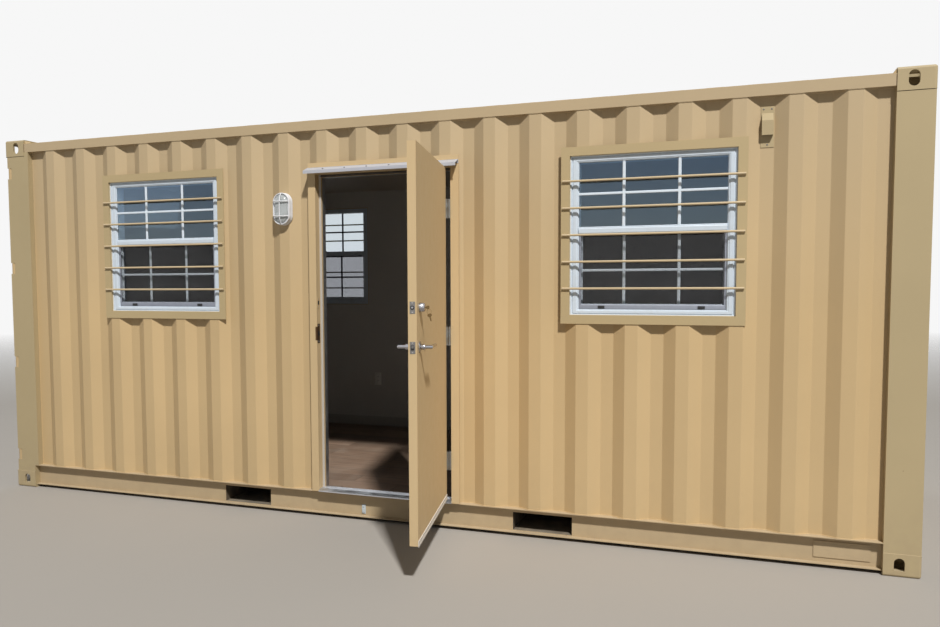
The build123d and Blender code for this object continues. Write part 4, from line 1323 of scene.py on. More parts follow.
@dataclass
class Skin:
    """Corrugated walls, rounded at their bends, with the welds along their feet and heads."""

    shop: Workshop
    crest_y: float = -1.212
    end_crest_x: float = 3.023
    sheet: float = 0.002
    bend_radius: float = 0.011
    bend_steps: int = 3
    merge: float = 0.0003
    window_xs: Range = (-1.632, 1.657)
    window_z: Range = (1.333, 2.249)
    window_half: float = 0.458
    door_x: Range = (-0.437, 0.485)
    door_top: float = 2.225
    weld_radius: float = 0.0028
    smooth: float = 25.0

    def __post_init__(self) -> None:
        """Set the rules of the side and end sheets."""
        self.side_rule = Corrugation(-2.752, 0.278, 21, 0.070, 0.068, 0.036)
        self.end_rule = Corrugation(-1.0, 0.250, 9, 0.104, 0.018, 0.045)

    def window(self, x: float) -> Opening:
        """Opening for the window about a middle."""
        return Opening((x - self.window_half, x + self.window_half), self.window_z)

    def side_line(
        self, x: Range, z: float, side: Side, proud: float = 0.0, cuts: Sequence[float] = ()
    ) -> list[Vector]:
        """Bent line of a side wall at one level, proud of the sheet, with a point at each cut."""
        crest_y, bends = self.crest_y, self.side_rule.bends(*x, cuts)
        return [Vector((u, side.value * (crest_y + depth - proud), z)) for u, depth in bends]

    def sheet_piece(
        self,
        name: str,
        line: Sequence[Vector],
        top: float,
        outward: Vector,
        nodes: Sequence[str],
        openings: Sequence[Opening] = (),
    ) -> Object:
        """One wall sheet with its thickness.

        Args:
            name: Name of the piece.
            line: Bent line at its foot.
            top: Level of its head.
            outward: Direction that its outer face looks.
            nodes: Frame nodes that it replaces.
            openings: Openings cut in it.

        Returns:
            The sheet.
        """
        levels = [line[0].z, self.window_z[0], self.door_top, self.window_z[1], top]
        values = {
            "Bend Radius": self.bend_radius,
            "Bend Steps": self.bend_steps,
            "Merge Distance": self.merge,
            "Material": WALL_PAINT.material(),
        }
        for i, (low, high) in enumerate(zip(levels, levels[1:])):
            values[f"Rise {i + 1}"] = high - low
        for i, opening in enumerate(openings):
            limits = zip(("Start", "End", "Foot", "Head"), (*opening.x, *opening.z))
            values |= {f"Opening {i + 1} {edge}": limit for edge, limit in limits}
        mesh = self.shop.pressed.grow(name, line_mesh([line]), values)
        if sum((face.normal.dot(outward) for face in mesh.polygons), 0.0) < 0.0:
            mesh.flip_normals()
        sheet, slot = thickened(mesh, self.sheet), "container_paint"
        piece = made(name, sheet, WALL_PAINT, slot, *nodes, smooth=self.smooth)
        shading = piece.modifiers.new("shading", "WEIGHTED_NORMAL")
        shading.keep_sharp = True
        return piece

    def side_wall(
        self, name: str, side: Side, openings: Sequence[Opening], nodes: Sequence[str]
    ) -> Range:
        """One long wall in one sheet, as long as the nodes that it stands for.

        Args:
            name: Name of the piece.
            side: Side of the container.
            openings: Openings cut in it.
            nodes: Frame nodes that it replaces.

        Returns:
            Its limits along the container.
        """
        boxes = [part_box(node) for node in nodes]
        x = (min(low.x for low, high in boxes), max(high.x for low, high in boxes))
        foot, head = min(low.z for low, high in boxes), max(high.z for low, high in boxes)
        cuts = [place for opening in openings for place in opening.x]
        line = self.side_line(x, foot, side, 0.0, cuts)
        self.sheet_piece(name, line, head, Vector((0.0, -side.value, 0.0)), nodes, openings)
        return x

    def build(self) -> None:
        """Make the two long walls and the end wall, and their welds to the rails."""
        low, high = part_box("end_wall")
        left, right = (self.window(x) for x in self.window_xs)
        door = Opening(self.door_x, (low.z, self.door_top))
        front_nodes = ("front_wall_left", "front_wall_over_door", "front_wall_right")
        front = self.side_wall("pressed_front_wall", Side.NEAR, (left, right, door), front_nodes)
        back = self.side_wall("pressed_back_wall", Side.FAR, (left,), ("back_wall",))
        bends = self.end_rule.bends(low.y, high.y)
        end_line = [Vector((self.end_crest_x - depth, place, low.z)) for place, depth in bends]
        outward = Vector((1.0, 0.0, 0.0))
        self.sheet_piece("pressed_end_wall", end_line, high.z, outward, ("end_wall",))
        radius = self.weld_radius
        beside_door = [(x, Side.NEAR) for x in ((front[0], door.x[0]), (door.x[1], front[1]))]
        welds = (
            ("wall_foot_welds", low.z + radius / 2, [*beside_door, (back, Side.FAR)]),
            ("wall_head_welds", high.z - radius / 2, [(front, Side.NEAR), (back, Side.FAR)]),
        )
        for name, z, runs in welds:
            lines = [self.side_line(x, z, side, radius / 4) for x, side in runs]
            lines.append([Vector((point.x, point.y, z)) for point in end_line])
            self.shop.bead(name, lines, radius, WALL_PAINT, "container_paint")


# Frame of posts, rails and castings


@dataclass
class CornerFrame:
    """Welds, and dark joint lines that paint the shade under the top castings, where posts and
    rails meet the corner castings.
    """

    shop: Workshop
    end_x: float = 3.029
    steel_x: float = 3.026
    steel_y: float = 1.216
    casting_x: float = 0.178
    casting_y: float = 0.162
    casting_z: float = 0.118
    height: float = 2.591
    rail_z: Range = (2.502, 2.558)
    weld_radius: float = 0.0025
    joint: float = 0.0022
    casting_pitch: float = 0.012
    rail_pitch: float = 0.008
    clip_x: float = -0.137
    clip_web_y: float = -1.1725
    clip_z: Range = (0.037, 0.098)

    def corner_line(self, z: float, way_x: int, way_y: int) -> list[Vector]:
        """Line round the two outer faces of a post at one level.

        Args:
            z: Level.
            way_x: Sign of the end.
            way_y: Sign of the side.

        Returns:
            Three points of the line.
        """
        x, y = way_x * self.steel_x, way_y * self.steel_y
        inner_x, inner_y = self.end_x - self.casting_x, self.steel_y - self.casting_y
        return [Vector((way_x * inner_x, y, z)), Vector((x, y, z)), Vector((x, way_y * inner_y, z))]

    def build(self) -> None:
        """Make the welds over the feet, the dark joint lines under the heads, which also paint the
        shade under each casting's overhang, and the rail welds.
        """
        ways = [(way_x, way_y) for way_x in (-1, 1) for way_y in (-1, 1)]
        radius = self.weld_radius
        inner_x = self.end_x - self.casting_x - radius / 2
        joint_z = self.height - self.casting_z - self.joint / 2
        feet = [self.corner_line(self.casting_z + radius / 2, *way) for way in ways]
        rails = [[Vector((u * inner_x, v * self.steel_y, z)) for z in self.rail_z] for u, v in ways]
        shop, slot = self.shop, "container_paint"
        shop.bead("casting_welds", feet, radius, FRAME_PAINT, slot, self.casting_pitch)
        shop.bead("rail_end_welds", rails, radius, RUSTY_WELD, slot, self.rail_pitch)
        # Dark line under each top casting: partly a real joint, partly painted shade under its
        # overhang.
        joints = Shell()
        for way in ways:
            joints.pipe(self.corner_line(joint_z, *way), self.joint / 2, 6)
        made("casting_joints", joints, SHADE_BROWN, "seal_rubber")
        self.clip()

    def clip(self) -> None:
        """Earthing clip screwed to the web of the near bottom rail."""
        x, y, (low, high) = self.clip_x, self.clip_web_y, self.clip_z
        body = Shell().block(about(x, 0.013), (y - 0.004, y + 0.0005), (low, high))
        body.block(about(x, 0.009), (y - 0.011, y - 0.003), (low + 0.010, high - 0.022))
        screw = [(0.0, 0.0), (0.0055, 0.0), (0.0050, 0.0045), (0.0, 0.005)]
        body.turned(screw, wall_place(x, y - 0.004, high - 0.011), 12)
        made("rail_clip", body, CLIP_STEEL, "mill_aluminium", bevel=0.001)


# Windows


FRAME_SECTION = (
    ((1.0, 0.001), (0.98, 0.0), (0.80, 0.0), (0.78, 0.005), (0.68, 0.005), (0.66, 0.001))
    + ((0.26, 0.001), (0.20, 0.004), (0.10, 0.004), (0.08, 0.009), (0.0, 0.011))
)
SASH_SECTION = ((1.0, 0.0005), (0.55, 0.0005), (0.45, 0.003), (0.10, 0.003), (0.0, 0.006))


@dataclass
class Window:
    """One single-hung window: vinyl frame, sash, glazing bars, screen and latches."""

    shop: Workshop
    name: str
    x: float
    side: Side
    z: Range = (1.338, 2.244)
    half: float = 0.453
    pane_half: float = 0.403
    daylight: Range = (1.371, 2.206)
    meeting: Range = (1.802, 1.842)
    face_y: float = -1.201
    back_y: float = -1.121
    sash_y: Range = (-1.171, -1.145)
    sash_pane_half: float = 0.385
    sash_sill: float = 1.403
    sash_play: float = 0.0005
    glass: float = 0.004
    upper_glass_y: float = -1.189
    lower_glass_y: float = -1.160
    muntin_x: float = 0.151
    muntin_width: float = 0.018
    muntin_rise: float = 0.015
    muntin_depth: float = 0.0045
    muntin_bevel: float = 0.003
    muntin_lap: float = 0.0004
    muntin_upper_z: float = 2.028
    muntin_lower_z: float = 1.594
    screen_y: float = -1.1815
    screen_rail: float = 0.010
    screen_foot: float = 0.026
    screen_deep: float = 0.004
    screen_pitch: float = 0.0030
    screen_wire: float = 0.0003
    latch_x: float = 0.274
    latch_z: float = 1.383
    caulk_radius: float = 0.0022
    caulk_inset: float = 0.0012

    def ring(
        self, section: Sequence[Range], inner: tuple[Range, Range], outer: tuple[Range, Range]
    ) -> Shell:
        """Mitred frame whose section runs from an inner to an outer rectangle.

        Args:
            section: Closed loop of (share outward, y).
            inner: Ranges across and up of the inner rectangle, about the middle.
            outer: Ranges across and up of the outer rectangle.

        Returns:
            The frame in near-side places.
        """
        rings = []
        for u, v in ((0, 0), (1, 0), (1, 1), (0, 1)):
            corner = []
            for share, y in section:
                across = inner[0][u] + (outer[0][u] - inner[0][u]) * share
                up = inner[1][v] + (outer[1][v] - inner[1][v]) * share
                corner.append(Vector((self.x + across, y, up)))
            rings.append(corner)
        return Shell().loft(rings, closed=True)

    def put(
        self, part: str, shell: Shell, finish: Finish, *slot: str, bevel: float = 0.0
    ) -> Object:
        """Carry a shape to the window's side, and make it there in its slot."""
        shell.moved(Matrix.Diagonal((1.0, self.side.value, 1.0, 1.0)))
        return made(f"{self.name}_{part}", shell, finish, *slot, bevel=bevel)

    def frame(self) -> None:
        """Stepped vinyl frame with its fixed meeting rail."""
        face, back, inside = self.face_y, self.back_y, self.sash_y[0]
        section = [(share, face + deep) for share, deep in FRAME_SECTION]
        section += [(0.0, back), (1.0, back)]
        inner = (about(0.0, self.pane_half), self.daylight)
        shell = self.ring(section, inner, (about(0.0, self.half), self.z))
        low, high = self.meeting
        outline = [(inside, low), (face + 0.004, low), (face + 0.001, low + 0.004)]
        outline += [(face + 0.001, high - 0.012), (face + 0.005, high - 0.009)]
        outline += [(face + 0.005, high - 0.003), (face + 0.010, high), (inside, high)]
        ends = about(self.x, self.pane_half)
        shell.loft([[Vector((end, y, z)) for y, z in outline] for end in ends])
        self.put("frame", shell, VINYL, "window_vinyl", "window_frames", bevel=0.0006)

    def sash(self) -> None:
        """Sliding sash with a glazing step, a lift rail and its cam lock."""
        (front, back), top = self.sash_y, self.meeting[1]
        section = [(share, front + deep) for share, deep in SASH_SECTION]
        section += [(0.0, back - 0.004), (0.2, back), (1.0, back)]
        inner = (about(0.0, self.sash_pane_half), (self.sash_sill, self.meeting[0]))
        outer = (about(0.0, self.pane_half - self.sash_play), (self.daylight[0], top))
        ring = self.ring(section, inner, outer)
        self.put("sash", ring, VINYL, "window_vinyl", "window_sashes", bevel=0.0005)
        lock = Shell().block(about(self.x, 0.03), (back, back + 0.012), (top - 0.016, top))
        handle = wall_place(self.x, back + 0.020, top - 0.010)
        lock.prism(slot_outline(0.030, 0.012), handle, 0.008)
        self.put("sash_lock", lock, VINYL, "window_vinyl", bevel=0.001)

    def panes(self) -> None:
        """Upper and lower glass, each with its edges ground; the lower one darkened as painted
        shade.
        """
        (low, high), half, sash_half = self.meeting, self.pane_half, self.sash_pane_half
        lights = (
            ("upper_pane", self.upper_glass_y, (high, self.daylight[1]), half, SKY_TINTED_UPPER_GLASS),
            ("lower_pane", self.lower_glass_y, (self.sash_sill, low), sash_half, SHADED_LOWER_GLASS),
        )
        for part, y, z, reach, finish in lights:
            pane = Shell().block(about(self.x, reach), (y, y + self.glass), z)
            self.put(part, pane, finish, "window_glass", "window_glass", bevel=0.0006)

    def muntins(self) -> None:
        """Glazing bars of both lights, bevelled to a flat face."""
        (low, high), half, sash_half = self.meeting, self.pane_half, self.sash_pane_half
        rows = (
            (self.upper_glass_y, (high, self.daylight[1]), half, self.muntin_upper_z),
            (self.lower_glass_y, (self.sash_sill, low), sash_half, self.muntin_lower_z),
        )
        shell = Shell()
        wide, rise = self.muntin_width / 2, self.muntin_rise / 2
        for glass_y, uprights, reach, level in rows:
            face = glass_y - self.muntin_depth
            for x in about(self.x, self.muntin_x):
                left, right = about(x, wide - self.muntin_bevel)
                outline = [(x - wide, glass_y), (left, face), (right, face), (x + wide, glass_y)]
                shell.loft([[Vector((u, v, end)) for u, v in outline] for end in uprights])
            foot, head = about(level, rise - self.muntin_bevel)
            front = face + self.muntin_lap
            outline = [(glass_y, level - rise), (front, foot)]
            outline += [(front, head), (glass_y, level + rise)]
            ends = about(self.x, reach)
            shell.loft([[Vector((end, v, w)) for v, w in outline] for end in ends])
        self.put("muntins", shell, MUNTIN, "window_vinyl")

    def screen(self) -> None:
        """Insect screen of the lower light: thin rails, woven wires and two pull latches."""
        y, deep, rail, foot = self.screen_y, self.screen_deep, self.screen_rail, self.screen_foot
        low, high = self.daylight[0] + 0.002, self.meeting[0] - 0.001
        reach = self.pane_half - 0.002
        section = [(1.0, y - deep), (0.2, y - deep), (0.0, y - deep / 2), (0.0, y + deep)]
        section.append((1.0, y + deep))
        inner = ((-reach + rail, reach - rail), (low + foot, high - rail))
        shell = self.ring(section, inner, (about(0.0, reach), (low, high)))
        self.put("screen_rails", shell, SCREEN_RAIL, "stud_steel", bevel=0.0004)
        self.wires((self.x - reach + rail, self.x + reach - rail), inner[1])
        latches = Shell()
        tall, pull = (self.latch_z - 0.008, self.latch_z + 0.009), about(self.latch_z, 0.004)
        for x in about(self.x, self.latch_x):
            latches.block(about(x, 0.019), (y - 0.0085, y - deep), tall)
            latches.block(about(x, 0.008), (y - 0.0105, y - 0.0085), pull)
        self.put("screen_latches", latches, LATCH_BLACK, "seal_rubber", bevel=0.0008)

    def wires(self, x: Range, z: Range) -> None:
        """Woven wires of the screen, the level ones behind the upright ones.

        Args:
            x: Limits across.
            z: Limits up.
        """
        thick, pitch, sign = about(0.0, self.screen_wire / 2), self.screen_pitch, self.side.value
        wide, tall, (left, foot) = x[1] - x[0], z[1] - z[0], (x[0], z[0])
        y = sign * self.screen_y
        level_y = sign * (self.screen_y + self.screen_wire)
        upright = Shell().block(thick, thick, (0.0, tall))
        level = Shell().block((0.0, wide), thick, thick)
        rows = (
            ("warp", upright, wide, (left + pitch / 2, y, foot), (pitch, 0.0, 0.0)),
            ("weft", level, tall, (left, level_y, foot + pitch / 2), (0.0, 0.0, pitch)),
        )
        for part, wire, length, start, step in rows:
            line = {"Count": int(length / pitch), "Start": start, "Step": step}
            self.shop.row(f"{self.name}_screen_{part}", wire, SCREEN_MESH, "stud_steel", **line)

    def caulk(self) -> None:
        """Run of sealant between the vinyl frame and the steel surround."""
        y, inset = self.side.value * (self.face_y - 0.0008), self.caulk_inset
        low, high = self.z[0] + inset, self.z[1] - inset
        left, right = self.x - self.half + inset, self.x + self.half - inset
        corners = [(left, low), (right, low), (right, high), (left, high), (left, low)]
        line = [Vector((u, y, v)) for u, v in corners]
        name, radius = f"{self.name}_caulk", self.caulk_radius
        self.shop.bead(name, [line], radius, CAULK, "window_vinyl", 0.030)


@dataclass
class GuardBars:
    """Welds that hold the guard bars to the window surrounds."""

    shop: Workshop
    windows: Sequence[Window]
    surround_y: float = -1.217
    bar_reach: float = 0.494
    bar_radius: float = 0.0065
    lowest_z: float = 1.490
    pitch: float = 0.1526
    count: int = 5
    weld_start: float = 0.459
    weld_radius: float = 0.0021
    weld_sink: float = 0.0006
    weld_pitch: float = 0.010

    def build(self) -> None:
        """Run a short weld along each side of each bar end."""
        lines = []
        for window in self.windows:
            y = window.side.value * (self.surround_y - self.weld_sink)
            for i in range(self.count):
                z = self.lowest_z + i * self.pitch
                for way in (-1, 1):
                    ends = [window.x + way * reach for reach in (self.weld_start, self.bar_reach)]
                    for level in about(z, self.bar_radius * 0.62):
                        lines.append([Vector((x, y, level)) for x in ends])
        finish, slot = BAR_PAINT, "container_paint"
        self.shop.bead("guard_bar_welds", lines, self.weld_radius, finish, slot, self.weld_pitch)


# Personnel door


@dataclass(frozen=True)
class Strike:
    """Sizes of one strike plate: its middle, height, width and the pocket's height."""

    name: str
    z: float
    tall: float
    wide: float
    hole: float
    finish: Finish


@dataclass
class DoorFrame:
    """Weatherstrip, strikes, threshold ribs and the drip cap's trim."""

    shop: Workshop
    left_x: float = -0.434
    right_x: float = 0.482
    stop_y: float = -1.172
    stop: float = 0.016
    seal_radius: float = 0.0024
    seal_half: float = 0.0078
    seal_backing: float = 0.0012
    head_z: float = 2.222
    floor_z: float = 0.190
    face_y: float = -1.222
    strike_in: float = 0.022
    latch: Strike = Strike("latch_strike", 1.204, 0.124, 0.030, 0.030, STRIKE_BROWN)
    bolt: Strike = Strike("bolt_strike", 1.402, 0.070, 0.028, 0.026, DOOR_PAINT_LIGHTENED)
    strike_thick: float = 0.0015
    lip_thick: float = 0.0012
    lip_half: float = 0.044
    lip_wide: float = 0.011
    rib_radius: float = 0.0016
    rib_length: float = 0.884
    rib_count: int = 8
    rib_pitch: float = 0.0068
    rib_start: float = 0.034
    hem_radius: float = 0.0030
    cap_lip: float = 0.019
    cap_screw_x: float = -0.354
    cap_screw_step: float = 0.151
    cap_screw_count: int = 6
    cap_seal_radius: float = 0.0025

    def strip(self) -> None:
        """Bulb seals along both jamb stops, and one along the head stop darkened as painted shade.
        """
        middle, radius, half = self.stop / 2, self.seal_radius, self.seal_half
        y = self.stop_y - radius
        left, right, top = self.left_x + middle, self.right_x - middle, self.head_z - middle
        backing = (self.stop_y - self.seal_backing, self.stop_y)
        jambs, head = Shell(), Shell()
        for x in (left, right):
            jambs.pipe([Vector((x, y, self.floor_z)), Vector((x, y, top))], radius, 10)
            jambs.block(about(x, half), backing, (self.floor_z, top + half))
        head.pipe([Vector((left, y, top)), Vector((right, y, top))], radius, 10)
        head.block((left + half, right - half), backing, about(top, half))
        made("jamb_weatherstrips", jambs, WEATHERSTRIP, "seal_rubber")
        # The head's strip carries the painted shade.
        made("head_weatherstrip", head, HEAD_SEAL_SHADE, "seal_rubber")

    def strikes(self) -> None:
        """Two strike plates on the lock jamb, their pockets as patches of painted shade, lip and
        screws.
        """
        holes, spots = Shell(), []
        face, lip = self.face_y, self.lip_thick
        x, y = self.left_x, face + self.strike_in
        for strike in (self.latch, self.bolt):
            half_y, half_z, z = strike.wide / 2, strike.tall / 2, strike.z
            plate = Shell().block((x, x + self.strike_thick), about(y, half_y), about(z, half_z))
            if strike is self.latch:
                lip_z = about(z, self.lip_half)
                plate.block((x - self.lip_wide, x + lip), (face - lip, face), lip_z)
                plate.block((x, x + lip), (face - lip, y - half_y + 0.001), lip_z)
            made(strike.name, plate, strike.finish, "lock_steel", bevel=0.0004)
            pocket = about(z, strike.hole / 2)
            # Near-black patch where the pocket is: painted shade.
            holes.block((x + 0.0012, x + 0.0018), about(y, strike.hole / 3), pocket)
            for level in about(z, half_z - 0.010):
                spots.append((Vector((x + self.strike_thick, y, level)), Vector((1.0, 0.0, 0.0))))
        made("strike_pockets", holes, HOLE_SHADE, "seal_rubber")
        head = screw_head(0.0038, 0.0012)
        self.shop.scatter("strike_screws", head, SCREW_STEEL, "lock_steel", spots)

    def threshold_ribs(self) -> None:
        """Ribs along the top of the threshold."""
        low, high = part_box("door_threshold")
        along = Matrix.Rotation(math.pi / 2, 4, "Y")
        rib = [(0.0, 0.0), (self.rib_radius, 0.0), (self.rib_radius, self.rib_length)]
        shape = Shell().turned([*rib, (0.0, self.rib_length)], along, 8)
        start = (self.left_x + self.stop, low.y + self.rib_start, high.z)
        line = {"Count": self.rib_count, "Start": start, "Step": (0.0, self.rib_pitch, 0.0)}
        self.shop.row("threshold_ribs", shape, MILL_ALUMINIUM, "mill_aluminium", **line)

    def cap_trim(self) -> None:
        """Rolled hem of the drip cap, the screws down its slope and its seal."""
        low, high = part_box("drip_cap")
        radius = self.hem_radius
        ends = (low.x + 0.0005, high.x - 0.0005)
        hem = Shell().pipe([Vector((x, low.y + radius, low.z + radius)) for x in ends], radius, 10)
        made("drip_cap_hem", hem, SKY_TINTED_FLASHING, "mill_aluminium")
        lip_top = low.z + self.cap_lip
        slope = Vector((0.0, high.y - low.y, high.z - lip_top))
        first = Vector((self.cap_screw_x, low.y, lip_top)) + slope * 0.3
        aim = Vector((0.0, -slope.z, slope.y)).normalized()
        steps = [i * self.cap_screw_step for i in range(self.cap_screw_count)]
        spots = [(first + Vector((step, 0.0, 0.0)), aim) for step in steps]
        bolt = hex_head(0.0095, 0.0035)
        self.shop.scatter("drip_cap_screws", bolt, DULL_STEEL, "mill_aluminium", spots)
        line = [Vector((x, high.y - 0.0015, high.z + 0.0008)) for x in ends]
        radius = self.cap_seal_radius
        self.shop.bead("drip_cap_seal", [line], radius, DOOR_PAINT_LIGHTENED, "door_paint", 0.04)


@dataclass
class DoorLeaf:
    """Lock, key, edge plates, hinge screws and sweep trim of the open leaf."""

    shop: Workshop
    left_x: float = -0.429
    right_x: float = 0.477
    jamb_x: float = 0.480
    face_y: float = -1.222
    back_y: float = -1.1775
    middle_y: float = -1.19975
    base_z: float = 0.208
    lever_x: float = -0.359
    lever_z: float = 1.204
    bolt_z: float = 1.402
    spindle: float = 0.0086
    rose_radius: float = 0.030
    cylinder_radius: float = 0.0245
    cylinder_proud: float = 0.0290
    plate_proud: float = 0.00004
    plate_y: Range = (-0.0145, 0.0130)
    plate_half: float = 0.0300
    plate_screw: float = 0.0235
    hinge_zs: Triple = (0.441, 1.2055, 1.970)
    hinge_screw_levels: tuple[float, ...] = (-0.042, -0.015, 0.015, 0.042)

    def trim(self) -> None:
        """Roses, bolt cylinder, thumb turn and edge plates of the lock."""
        shell = Shell()
        spindle, rim = self.spindle, self.rose_radius
        rose = [(spindle, 0.0), (rim, 0.0), (rim, 0.0035), (rim - 0.0015, 0.0055)]
        rose += [(0.019, 0.0090), (0.0130, 0.0090), (spindle, spindle)]
        radius, proud = self.cylinder_radius, self.cylinder_proud
        cylinder = [(0.0, 0.0), (radius, 0.0), (radius, 0.004), (radius - 0.003, proud - 0.003)]
        cylinder += [(radius - 0.0055, proud), (0.0085, proud), (0.0080, proud - 0.0006)]
        cylinder.append((0.0, proud - 0.0006))
        inward = (0.0, 1.0, 0.0)
        shell.hoop(rose, wall_place(self.lever_x, self.face_y, self.lever_z), 32)
        shell.hoop(rose, axis_place((self.lever_x, self.back_y, self.lever_z), inward), 32)
        shell.turned(cylinder, wall_place(self.lever_x, self.face_y, self.bolt_z), 32)
        inside = axis_place((self.lever_x, self.back_y, self.bolt_z), inward)
        plate = [(0.0, 0.0), (radius, 0.0), (radius - 0.002, 0.004), (0.0, 0.0045)]
        shell.turned(plate, inside, 32)
        thumb = inside @ Matrix.Translation((0.0, 0.0, 0.004))
        shell.prism(slot_outline(0.030, 0.008), thumb, 0.0078)
        on_leaf("lock_trim_dressed", shell, SATIN_CHROME, "lock_steel", "lock_trim", bevel=0.0004)
        plates = Shell()
        across = (self.left_x - self.plate_proud, self.left_x + 0.002)
        deep = (self.middle_y + self.plate_y[0], self.middle_y + self.plate_y[1])
        for z in (self.lever_z, self.bolt_z):
            plates.block(across, deep, about(z, self.plate_half))
        on_leaf("edge_plates", plates, DULL_STEEL, "lock_steel", bevel=0.0004)

    def collars(self) -> None:
        """Thicker sleeve at the root of each lever, turning with it."""
        sleeve = [(0.0090, 0.0105), (0.0135, 0.0105), (0.0138, 0.0250), (0.0122, 0.0280)]
        sleeve.append((0.0090, 0.0282))
        shell = Shell()
        for y, way in ((self.face_y, -1.0), (self.back_y, 1.0)):
            shell.hoop(sleeve, axis_place((self.lever_x, y, self.lever_z), (0.0, way, 0.0)), 28)
        shell.moved(TO_OPEN)
        made("lever_collars", shell, SATIN_CHROME, "lock_steel", body=Body.LEVER)

    def bolts(self) -> None:
        """Latch wedge in its slot and bolt end in its ring, both drawn as painted shade, and the
        plates' screws.
        """
        middle_y, edge_x = self.middle_y, self.left_x - self.plate_proud
        outward = Vector((-1.0, 0.0, 0.0))
        bolt = axis_place((edge_x, middle_y, self.bolt_z), outward)
        # Near-black ring and slot: painted shade round the bolt and the latch.
        dark = Shell().disc(0.0108, 0.0002, bolt)
        slot = about(self.lever_z, 0.0125)
        dark.block((edge_x - 0.0002, edge_x), about(middle_y, 0.0085), slot)
        on_leaf("edge_plate_slots", dark, HOLE_SHADE, "lock_steel")
        latch = [(-0.0065, -0.0025), (0.0055, -0.0025), (0.0055, 0.0100), (-0.0065, 0.0100)]
        tips = [(edge_x - (0.0030 if across < 0 else 0.0008), across, up) for across, up in latch]
        rings = [[(edge_x, across, up) for across, up in latch], tips]
        place = Matrix.Translation((0.0, middle_y, self.lever_z))
        wedge = Shell().loft([[place @ Vector(corner) for corner in ring] for ring in rings])
        on_leaf("latch_wedge", wedge, DULL_STEEL, "lock_steel", bevel=0.0002)
        end = [(0.0, 0.0), (0.0062, 0.0), (0.0050, 0.0006), (0.0, 0.0006)]
        button = Shell().turned(end, bolt, 20)
        on_leaf("bolt_end", button, SATIN_CHROME, "lock_steel")
        spots = []
        for z in (self.lever_z, self.bolt_z):
            for level in about(z, self.plate_screw):
                spots.append((TO_OPEN @ Vector((edge_x, middle_y, level)), OPEN_TURN @ outward))
        head = screw_head(0.0034, 0.0009)
        self.shop.scatter("edge_plate_screws", head, SCREW_STEEL, "lock_steel", spots, Body.DOOR)

    def key(self) -> None:
        """Key in the cylinder with a second one hanging from its ring."""
        face = self.face_y - self.cylinder_proud
        x, z = self.lever_x, self.bolt_z
        shell = Shell().block(about(x, 0.001), (face - 0.005, face), about(z, 0.004))
        rows = ((0, 0, 1, x - 0.001), (-1, 0, 0, face - 0.005), (0, -1, 0, z), (0, 0, 0, 1))
        half = [(0.0, 0.005), (0.005, 0.009), (0.013, 0.0095), (0.017, 0.005)]
        shell.prism([(out, -up) for out, up in half] + half[::-1], Matrix(rows), 0.002)
        y, low = face - 0.020, z - 0.021
        loop = [(0.011 * math.cos(a), 0.013 * math.sin(a)) for a in circle_angles(20)]
        path = [Vector((x + 0.0005, y + across, low + up)) for across, up in loop]
        shell.pipe(path, 0.0007, 6, closed=True)
        rows = ((0, 0, 1, x + 0.002), (0, 1, 0, y), (-1, 0, 0, low - 0.010), (0, 0, 0, 1))
        hanging = Matrix(rows) @ Matrix.Rotation(math.radians(-14.0), 4, "Z")
        bow = [(0.0, -0.004), (0.004, -0.0105), (0.011, -0.0115), (0.018, -0.005)]
        blade = [(0.018, -0.0035), (0.036, -0.0035), (0.041, 0.0), (0.036, 0.0035)]
        shell.prism(bow + [(down, -across) for down, across in bow[::-1]], hanging, 0.0018)
        shell.prism([*blade, (0.018, 0.0035)], hanging, 0.0018)
        on_leaf("keys", shell, BRONZE, "lock_steel", bevel=0.0003)

    def sweep_trim(self) -> None:
        """Carrier of the sweep with its two ribs, and the rubber lip below it."""
        low, high = self.base_z - 0.006, self.base_z + 0.027
        face, rib = self.face_y - 0.004, 0.0012
        length = (self.left_x + 0.001, self.right_x - 0.001)
        carrier = Shell().block(length, (face + rib, self.face_y), (low + 0.007, high))
        for z in (low + 0.009, high - 0.002):
            carrier.pipe([Vector((x, face + rib, z)) for x in length], rib, 8)
        lip = Shell().block(length, (face + 0.0006, face + 0.003), (low, low + 0.010))
        slot = "mill_aluminium"
        on_leaf("sweep_carrier", carrier, SWEEP_ALLOY, slot, "door_sweep")
        on_leaf("sweep_lip", lip, WEATHERSTRIP, "seal_rubber", bevel=0.0005)

    def hinge_screws(self) -> None:
        """Countersunk screws of both plates of the three hinges."""
        leaf, jamb, aim = [], [], Vector((1.0, 0.0, 0.0))
        for z in self.hinge_zs:
            for i, level in enumerate(self.hinge_screw_levels):
                y = HINGE_AXIS.y + (0.024 + 0.016 * (i % 2))
                place = TO_OPEN @ Vector((self.right_x + 0.002, y, z + level))
                leaf.append((place, OPEN_TURN @ aim))
                jamb.append((Vector((self.jamb_x, y, z + level)), -aim))
        head, slot = screw_head(0.0042, 0.0003), "hinge_steel"
        self.shop.scatter("leaf_hinge_screws", head, SCREW_STEEL, slot, leaf, Body.DOOR)
        self.shop.scatter("jamb_hinge_screws", head, SCREW_STEEL, slot, jamb)


# Light and vent


